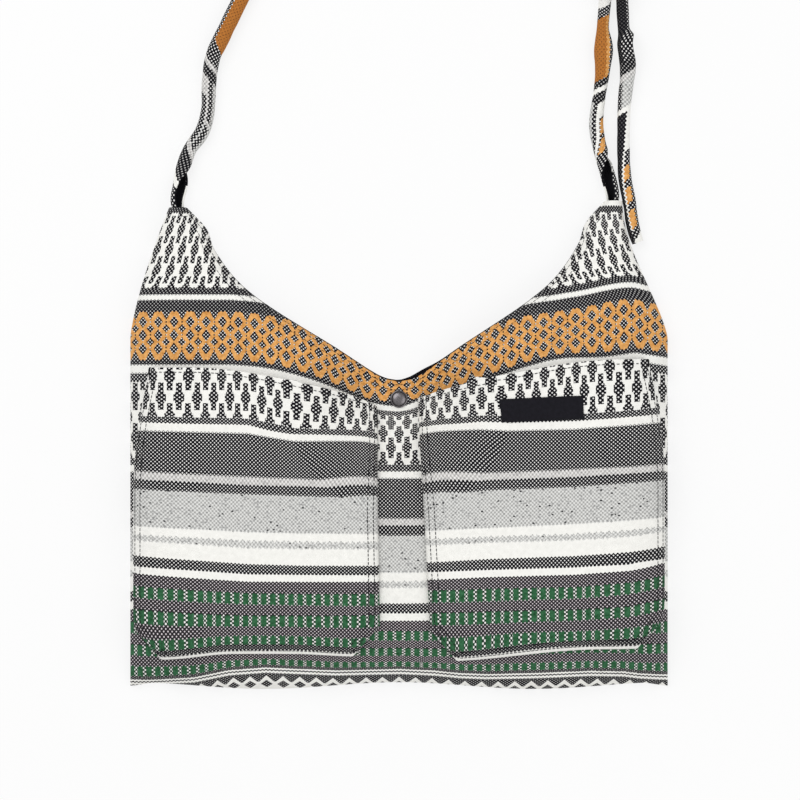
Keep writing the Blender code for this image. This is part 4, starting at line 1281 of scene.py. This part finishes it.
    def tack(self, thread: bpy.types.Material) -> None:
        """A bar tack of close satin stitches at the outer mouth corner."""
        y = self.mouth_line(np.array(0.99)) - 0.0026 + np.linspace(-0.0025, 0.0025, 15)
        x = self.side.value * (self.outer_edge(np.array(1.0)) - 0.0013) + 0 * y
        step = np.array((0.00001, 0.0, 0.0))
        lines = [np.stack([middle - step, middle + step]) for middle in self.surface(x, y, 0.0003)]
        normals = [np.stack([normal, normal]) for normal in self.crown.normal(x, y)]
        piece = thread_rows(f"{self.name}_tack", lines, normals, *self.tack_stitch)
        dress(piece, thread, "black_thread", f"{self.name}_bartack")


@dataclass
class Label:
    """The small woven label sewn flat on the right pocket. Its face is left bare."""

    pocket: PatchPocket
    width: float = 0.0595
    height: float = 0.0175
    ply: float = 0.0007
    seat: float = 0.0004
    rolled: float = 0.0003
    stitch_inset: float = 0.0012
    stitch_step: float = 0.0026
    stitch: tuple[float, float] = (0.0021, 0.00022)
    centre: tuple[float, float] = (0.1075, 0.2085)
    turn: float = math.radians(2.5)

    def place(self, u: Array, v: Array) -> tuple[Array, Array]:
        """Plan places at distances across and up the label."""
        x = self.centre[0] + u * math.cos(self.turn) - v * math.sin(self.turn)
        return x, self.centre[1] + u * math.sin(self.turn) + v * math.cos(self.turn)

    def build(self, ribbon: bpy.types.Material, thread: bpy.types.Material) -> None:
        """Make the label of woven ribbon, its edges slightly rolled, and the stitches round it."""
        u, v = np.meshgrid(
            np.linspace(-0.5, 0.5, 80) * self.width, np.linspace(-0.5, 0.5, 30) * self.height,
            indexing="ij",
        )
        x, y = self.place(u, v)
        edge = np.minimum(self.width / 2 - abs(u), self.height / 2 - abs(v))
        lift = self.seat + self.ply - self.rolled * (1 - quarter(edge / 0.0008))
        outer = self.pocket.surface(x, y, lift)
        inner = outer - self.pocket.crown.normal(x, y) * (self.ply - self.rolled)
        dress(shell("label_ribbon", outer, inner, np.stack([u, v], -1)), ribbon, "woven_label", "label")
        a, b = self.width / 2 - self.stitch_inset, self.height / 2 - self.stitch_inset
        lines, normals = [], []
        sides = (((-a, -b), (a, -b)), ((a, b), (-a, b)), ((-a, b), (-a, -b)), ((a, -b), (a, b)))
        for start, end in sides:
            t = np.linspace(0.02, 0.98, int(math.dist(start, end) / self.stitch_step))[:, None]
            x, y = self.place(*(np.array(start) + t * (np.array(end) - start)).T)
            lines.append(self.pocket.surface(x, y, self.seat + self.ply))
            normals.append(self.pocket.crown.normal(x, y))
        dress(thread_rows("label_stitches", lines, normals, *self.stitch), thread, "black_thread")


@dataclass
class Snap:
    """The snap that closes the mouth: a domed cap with a rolled rim, a socket, a stud and its plate."""

    crown: Crown
    radius: float = 0.0066
    dome: float = 0.0022
    post_radius: float = 0.0017
    post_foot: float = 0.0072

    def build(self, metal: bpy.types.Material) -> None:
        """Make the cap of gunmetal with a bead round its rim, and finish the hidden halves."""
        foot, rim, dome = self.crown.snap_top + 0.0003, self.radius, self.dome
        profile = [
            (0.82 * rim * math.sin(a), foot + dome * (0.34 + 0.66 * math.cos(a)))
            for a in np.linspace(0, math.pi / 2, 16)
        ]
        profile += [(0.83 * rim, foot + 0.30 * dome), (0.85 * rim, foot + 0.30 * dome)]
        profile += [
            (rim * (0.925 - 0.075 * math.cos(a)), foot + dome * (0.32 + 0.18 * math.sin(a)))
            for a in np.linspace(0, math.pi, 12)[1:]
        ]
        profile += [(rim, foot + 0.20 * dome), (0.98 * rim, foot), (self.post_radius, foot)]
        profile += [(self.post_radius, self.post_foot), (0.0, self.post_foot)]
        cap = turned("snap_cap_dome", profile, (0.0, self.crown.snap_height))
        dress(cap, metal, "gunmetal", "snap_cap")
        for node in ("snap_socket", "snap_stud", "snap_stud_plate"):
            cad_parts[node].data.materials.clear()
            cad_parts[node].data.materials.append(metal)


@dataclass
class Straps:
    """Two strips of rug cloth, faced in black, curled lengthwise and tied in a reef knot.

    A row of knot_half is a place along, across and above the knot, in pitches of its strands. A row
    of a rise or the tail is a step across and up from the horn's tip, the roll's radius and its
    turn in degrees. A row of arch is a share of the way to the knot and of the arch's height.
    """

    outline: Outline
    width: float = 0.025
    cloth: float = 0.0012
    facing: float = 0.0005
    facing_gap: float = 0.0005
    roll: float = 0.0050
    knot_roll: float = 0.0047
    knot_gap: float = 0.0005
    knot_above_tip: float = 0.185
    arch_above_tip: float = 0.305
    tuck: float = 0.009
    tuck_lean: float = 0.0018
    tuck_roll: float = 0.0036
    tuck_lift: float = 0.0017
    step: float = 0.0016
    half_points: int = 17
    knot_half: tuple[tuple[float, float, float], ...] = (
        (5.60, 0.80, -1.00), (4.40, 0.72, -1.00), (3.55, 0.66, -0.15), (2.95, 0.62, 0.75),
        (2.30, 0.62, 1.00), (1.55, 0.72, 0.45), (0.95, 0.95, -0.45), (0.45, 1.15, -0.90),
        (0.00, 1.32, -1.00), (-0.50, 1.62, -0.85), (-1.05, 1.92, -0.25), (-1.70, 1.75, 0.55),
        (-2.15, 1.15, 0.95), (-2.35, 0.55, 1.00), (-2.40, 0.00, 1.00),
    )
    left_rise: tuple[tuple[float, ...], ...] = (
        (-0.0004, 0.0045, 0.0052, 152), (0.0015, 0.0160, 0.0056, 150), (0.0040, 0.0300, 0.0055, 70),
        (0.0090, 0.0440, 0.0053, 15), (0.0180, 0.0570, 0.0056, 0), (0.0225, 0.0730, 0.0053, 0),
        (0.0235, 0.0950, 0.0055, 0), (0.0262, 0.1130, 0.0058, 0), (0.0330, 0.1280, 0.0062, 10),
    )
    right_rise: tuple[tuple[float, ...], ...] = (
        (-0.0008, 0.0045, 0.0052, 205), (-0.0038, 0.0180, 0.0056, 200), (-0.0078, 0.0320, 0.0055, 95),
        (-0.0115, 0.0460, 0.0055, 15), (-0.0130, 0.0600, 0.0054, 0), (-0.0108, 0.0780, 0.0049, 0),
        (-0.0085, 0.0950, 0.0054, 0), (-0.0075, 0.1150, 0.0072, 0),
    )
    right_tail: tuple[tuple[float, ...], ...] = (
        (0.0105, 0.1180, 0.0078, -62), (0.0108, 0.0980, 0.0060, -40), (0.0082, 0.0720, 0.0050, -15),
        (0.0076, 0.0420, 0.0048, -35), (0.0086, 0.0180, 0.0050, -60), (0.0120, 0.0000, 0.0052, -70),
        (0.0138, -0.0140, 0.0050, -65), (0.0160, -0.0240, 0.0048, -60), (0.0185, -0.0310, 0.0044, -50),
    )
    left_tail: tuple[tuple[float, ...], ...] = (
        (0.002, 0.018, 0, 0.001, 0), (0.008, 0.042, 0, 0.002, 0),
    )
    arch: tuple[tuple[float, float], ...] = (
        (0.075, 0.560), (0.180, 0.720), (0.330, 0.875), (0.517, 0.970),
        (0.680, 1.000), (0.830, 0.967), (0.935, 0.885),
    )

    def knot_rows(self, side: Side) -> Array:
        """One strand of the knot as rows of place, lift, roll and turn."""
        half = np.array(self.knot_half)
        strand = np.vstack([half, half[::-1][1:] * (1, -1, 1)])
        if side is Side.LEFT:
            strand = strand * (-1, 1, -1)
        pitch = 2 * self.knot_roll + self.knot_gap
        reach, height = self.outline.tip(Side.RIGHT)
        same = np.ones(len(strand))
        return np.column_stack([
            reach - pitch * strand[:, 1], height + self.knot_above_tip - pitch * strand[:, 0],
            pitch * (1 + strand[:, 2]) / 2, self.knot_roll * same, 0 * same,
        ])

    def strap_rows(self, side: Side, table: Sequence[Sequence[float]]) -> Array:
        """Rows of a path from steps off a horn's tip."""
        reach, height = self.outline.tip(side)
        x, y, roll, turn = np.array(table).T
        return np.column_stack([side.value * reach + x, height + y, 0 * x, roll, turn])

    def tucked(self, side: Side, rows: Array) -> Array:
        """The path with its end pushed down between the plies of the horn."""
        reach, height = self.outline.tip(side)
        rows[0, 2] = self.tuck_lift
        start = rows[0].copy()
        place = (side.value * (reach - self.tuck_lean), height - self.tuck)
        start[:4] = (*place, self.tuck_lift, self.tuck_roll)
        return np.vstack([start, rows])

    def path(self, side: Side) -> Array:
        """The strap's whole path: up from its horn, through the knot and out in its tail.

        Args:
            side: which strap.

        Returns:
            Even stations of place, lift, roll, turn and length along the strap.
        """
        knot = self.knot_rows(side)
        if side is Side.LEFT:
            rise = self.tucked(side, self.strap_rows(side, self.left_rise))
            start, end, shares = rise[-1, 0], knot[0, 0], np.array(self.arch)
            same = np.ones(len(shares))
            arch = np.column_stack([
                start + (end - start) * shares[:, 0],
                self.outline.tip(side)[1] + self.arch_above_tip * shares[:, 1],
                0 * same, self.roll * 1.2 * same, 0 * same,
            ])
            rows = np.vstack([rise, arch, knot, knot[-1] + np.array(self.left_tail)])
        else:
            rise = self.tucked(side, self.strap_rows(side, self.right_rise))
            rows = np.vstack([rise, knot, self.strap_rows(side, self.right_tail)])
        dense = smooth_curve(rows)
        length = lengths(dense[:, :3])
        wanted = np.linspace(0, length[-1], int(length[-1] / self.step))
        return np.column_stack([*(np.interp(wanted, length, column) for column in dense.T), wanted])

    def strip(self, name: str, path: Array, outer: float, ply: float) -> bpy.types.Object:
        """Loft of a curled strip: an arc of the roll's radius, open on one side, carried along a path.

        The radius wavers by a few hundredths with two slow sines along the length, as hand-rolled
        cloth does.

        Args:
            name: the object's name.
            path: stations.
            outer: how far the outer face lies inside the roll.
            ply: thickness, inwards.

        Returns:
            The linked object.
        """
        x, y, lift, roll, turn, length = path.T
        centre = np.column_stack([x, y, lift + roll + 0.0001])
        tangent = unit(np.gradient(centre, axis=0))
        level = unit(np.cross(tangent, (0, 0, 1)))
        upward = np.cross(level, tangent)
        spread = np.minimum(self.width / 2 / roll, 2.9)
        share = np.linspace(1, -1, self.half_points)
        angle = math.pi / 2 + np.radians(turn)[:, None] + share * spread[:, None]
        slow, slower = (np.sin(length / wave)[:, None] for wave in (0.0031, 0.0052))
        waver = 1 + 0.025 * slow * np.cos(2 * angle) + 0.02 * slower
        angle, waver = (np.concatenate([k, k[:, ::-1]], axis=1) for k in (angle, waver))
        face = np.repeat([[0.0, -ply]], self.half_points, axis=1)
        radius = (face + (roll - outer)[:, None]) * np.minimum(waver, 1.0)
        points = (
            centre[:, None]
            + (radius * np.cos(angle))[..., None] * level[:, None]
            + (radius * np.sin(angle))[..., None] * upward[:, None]
        )
        across = np.concatenate([share, share[::-1]])[None] * self.width / 2 + 0 * radius
        return loft(name, points, np.stack([across, length[:, None] + 0 * radius], -1))

    def build(self, cloths: dict[Side, bpy.types.Material], facing: bpy.types.Material) -> None:
        """Make both straps, each of its own rug cloth, and their facings of black cotton."""
        for side in Side:
            node = f"{side.name.lower()}_strap"
            path = self.path(side)
            log.info("%s: %.0f mm long", node, path[-1, 5] * 1000)
            dress(self.strip(f"{node}_cloth", path, 0.0, self.cloth), cloths[side], "rug_cloth", node)
            inner = self.strip(f"{node}_facing_cloth", path, self.cloth + self.facing_gap, self.facing)
            dress(inner, facing, "black_lining", f"{node}_facing")


@dataclass
class Topstitch:
    """Two rows of black topstitch along the mouth's edge, on both sides of the snap."""

    crown: Crown
    distances: tuple[float, ...] = (0.0026, 0.0066)
    stitch: tuple[float, float] = (0.0026, 0.00024)

    def build(self, thread: bpy.types.Material) -> None:
        """Sew the rows with black thread."""
        lines, normals = [], []
        for side in Side:
            edge = self.crown.outline.mouth_edge(side) * (side.value, 1)
            for distance in self.distances:
                x, y = stitch_places(edge, -side.value * distance, (0.005, 0.985), 300).T
                lines.append(self.crown.lifted(x, y, 0.00005))
                normals.append(self.crown.normal(x, y))
        dress(thread_rows("mouth_topstitch", lines, normals, *self.stitch), thread, "black_thread")


@dataclass
class Studio:
    """Pale floor, soft light and the camera that looks straight down on the bag."""

    focal_mm: float = 200.0
    sensor_mm: float = 36.0
    frame_width: float = 0.600
    aim: tuple[float, float] = (0.00075, 0.09525)
    aim_height: float = 0.020
    floor_reach: float = 4.0
    floor_level: float = -0.0006
    lamps: tuple[tuple[str, tuple[float, float, float], float, float], ...] = (
        ("key", (-0.9, 1.0, 1.9), 1.5, 17.0), ("fill", (1.2, -0.3, 1.7), 1.4, 8.0),
    )
    lit_point: tuple[float, float, float] = (0.0, 0.05, 0.0)
    world_strength: float = 0.62

    def build(self) -> None:
        """Make the floor, the lamps, the world and the camera."""
        self.build_floor()
        self.build_lights()
        camera = bpy.data.objects.new("camera", bpy.data.cameras.new("camera"))
        camera.data.lens = self.focal_mm
        camera.data.sensor_width = self.sensor_mm
        camera.data.clip_end = 20.0
        distance = self.frame_width * self.focal_mm / self.sensor_mm
        camera.location = (*self.aim, self.aim_height + distance)
        bpy.context.scene.collection.objects.link(camera)
        bpy.context.scene.camera = camera

    def build_floor(self) -> None:
        """A white floor that keeps a light shadow and shows white to the camera and in reflections."""
        corners = np.array([(-1, -1, 0), (1, -1, 0), (1, 1, 0), (-1, 1, 0)]) * self.floor_reach
        floor = make_object("floor", corners + (0, 0, self.floor_level), np.array([[0, 1, 2, 3]]))
        material = bpy.data.materials.new("painted_floor")
        material.use_nodes = True
        tree = material.node_tree
        tree.nodes.clear()
        rays = add_node(tree, "LightPath")
        camera, glossy, clear = (
            Field(rays.outputs[f"Is {kind} Ray"]) for kind in ("Camera", "Glossy", "Transmission")
        )
        seen = camera.most(glossy).most(clear) * 0.80
        paint = add_node(tree, "BsdfDiffuse", {"Color": "F8F8F8"})
        glow = add_node(tree, "Emission", {"Color": "FFFFFF", "Strength": 1.0})
        mix = add_node(tree, "MixShader", {0: seen, 1: paint.outputs[0], 2: glow.outputs[0]})
        add_node(tree, "OutputMaterial", {"Surface": mix.outputs[0]})
        floor.data.materials.append(material)

    def build_lights(self) -> None:
        """A large soft lamp over the upper left, a weaker one on the right, and a pale world."""
        for name, place, size, power in self.lamps:
            light = bpy.data.lights.new(name, "AREA")
            light.size = size
            light.energy = power
            lamp = bpy.data.objects.new(name, light)
            lamp.location = place
            x, y, z = np.array(place) - self.lit_point
            lamp.rotation_euler = (math.atan2(math.hypot(x, y), z), 0.0, math.atan2(y, x) + math.pi / 2)
            bpy.context.scene.collection.objects.link(lamp)
        world = bpy.data.worlds.new("studio")
        world.use_nodes = True
        background = world.node_tree.nodes["Background"]
        background.inputs["Color"].default_value = (1, 1, 1, 1)
        background.inputs["Strength"].default_value = self.world_strength
        bpy.context.scene.world = world


def main() -> None:
    """Build the bag's dressed pieces in order, then the studio."""
    logging.basicConfig(level=logging.INFO, format="%(message)s")
    outline = Outline()
    crown, lie = Crown(outline), ClothLie()
    rug = RugCloth("woven_rug_cloth", BODY_BANDS).build()
    straps = {
        side: RugCloth(
            f"{side.name.lower()}_strap_rug_cloth", bands, patches, shear, pitch_across=3.3, pitch_along=3.2
        ).build()
        for side, bands, patches, shear in (
            (Side.LEFT, LEFT_STRAP_BANDS, LEFT_STRAP_PATCHES, -0.8),
            (Side.RIGHT, RIGHT_STRAP_BANDS, RIGHT_STRAP_PATCHES, 0.6),
        )
    }
    cotton = PlainCotton("black_cotton_lining").build()
    thread = SewingThread("black_sewing_thread").build()
    ribbon = WovenRibbon("black_woven_ribbon").build()
    metal = Gunmetal("plated_gunmetal").build()
    Panels(crown, lie).build(rug, cotton)
    left = PatchPocket(
        Side.LEFT, crown, lie, foot_reach=0.0143, mouth_reach=0.0170, mouth_height=0.2103, mouth_bend=2.2
    )
    right = PatchPocket(
        Side.RIGHT, crown, lie, foot_reach=0.0232, mouth_reach=0.0143, mouth_height=0.2165, mouth_bend=1.8
    )
    for pocket in (left, right):
        pocket.build(rug, thread)
    Label(right).build(ribbon, thread)
    Snap(crown).build(metal)
    Topstitch(crown).build(thread)
    Straps(outline).build(straps, cotton)
    Studio().build()
    bpy.context.scene.view_settings.view_transform = "Standard"
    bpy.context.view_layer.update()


if __name__ == "__main__":
    main()
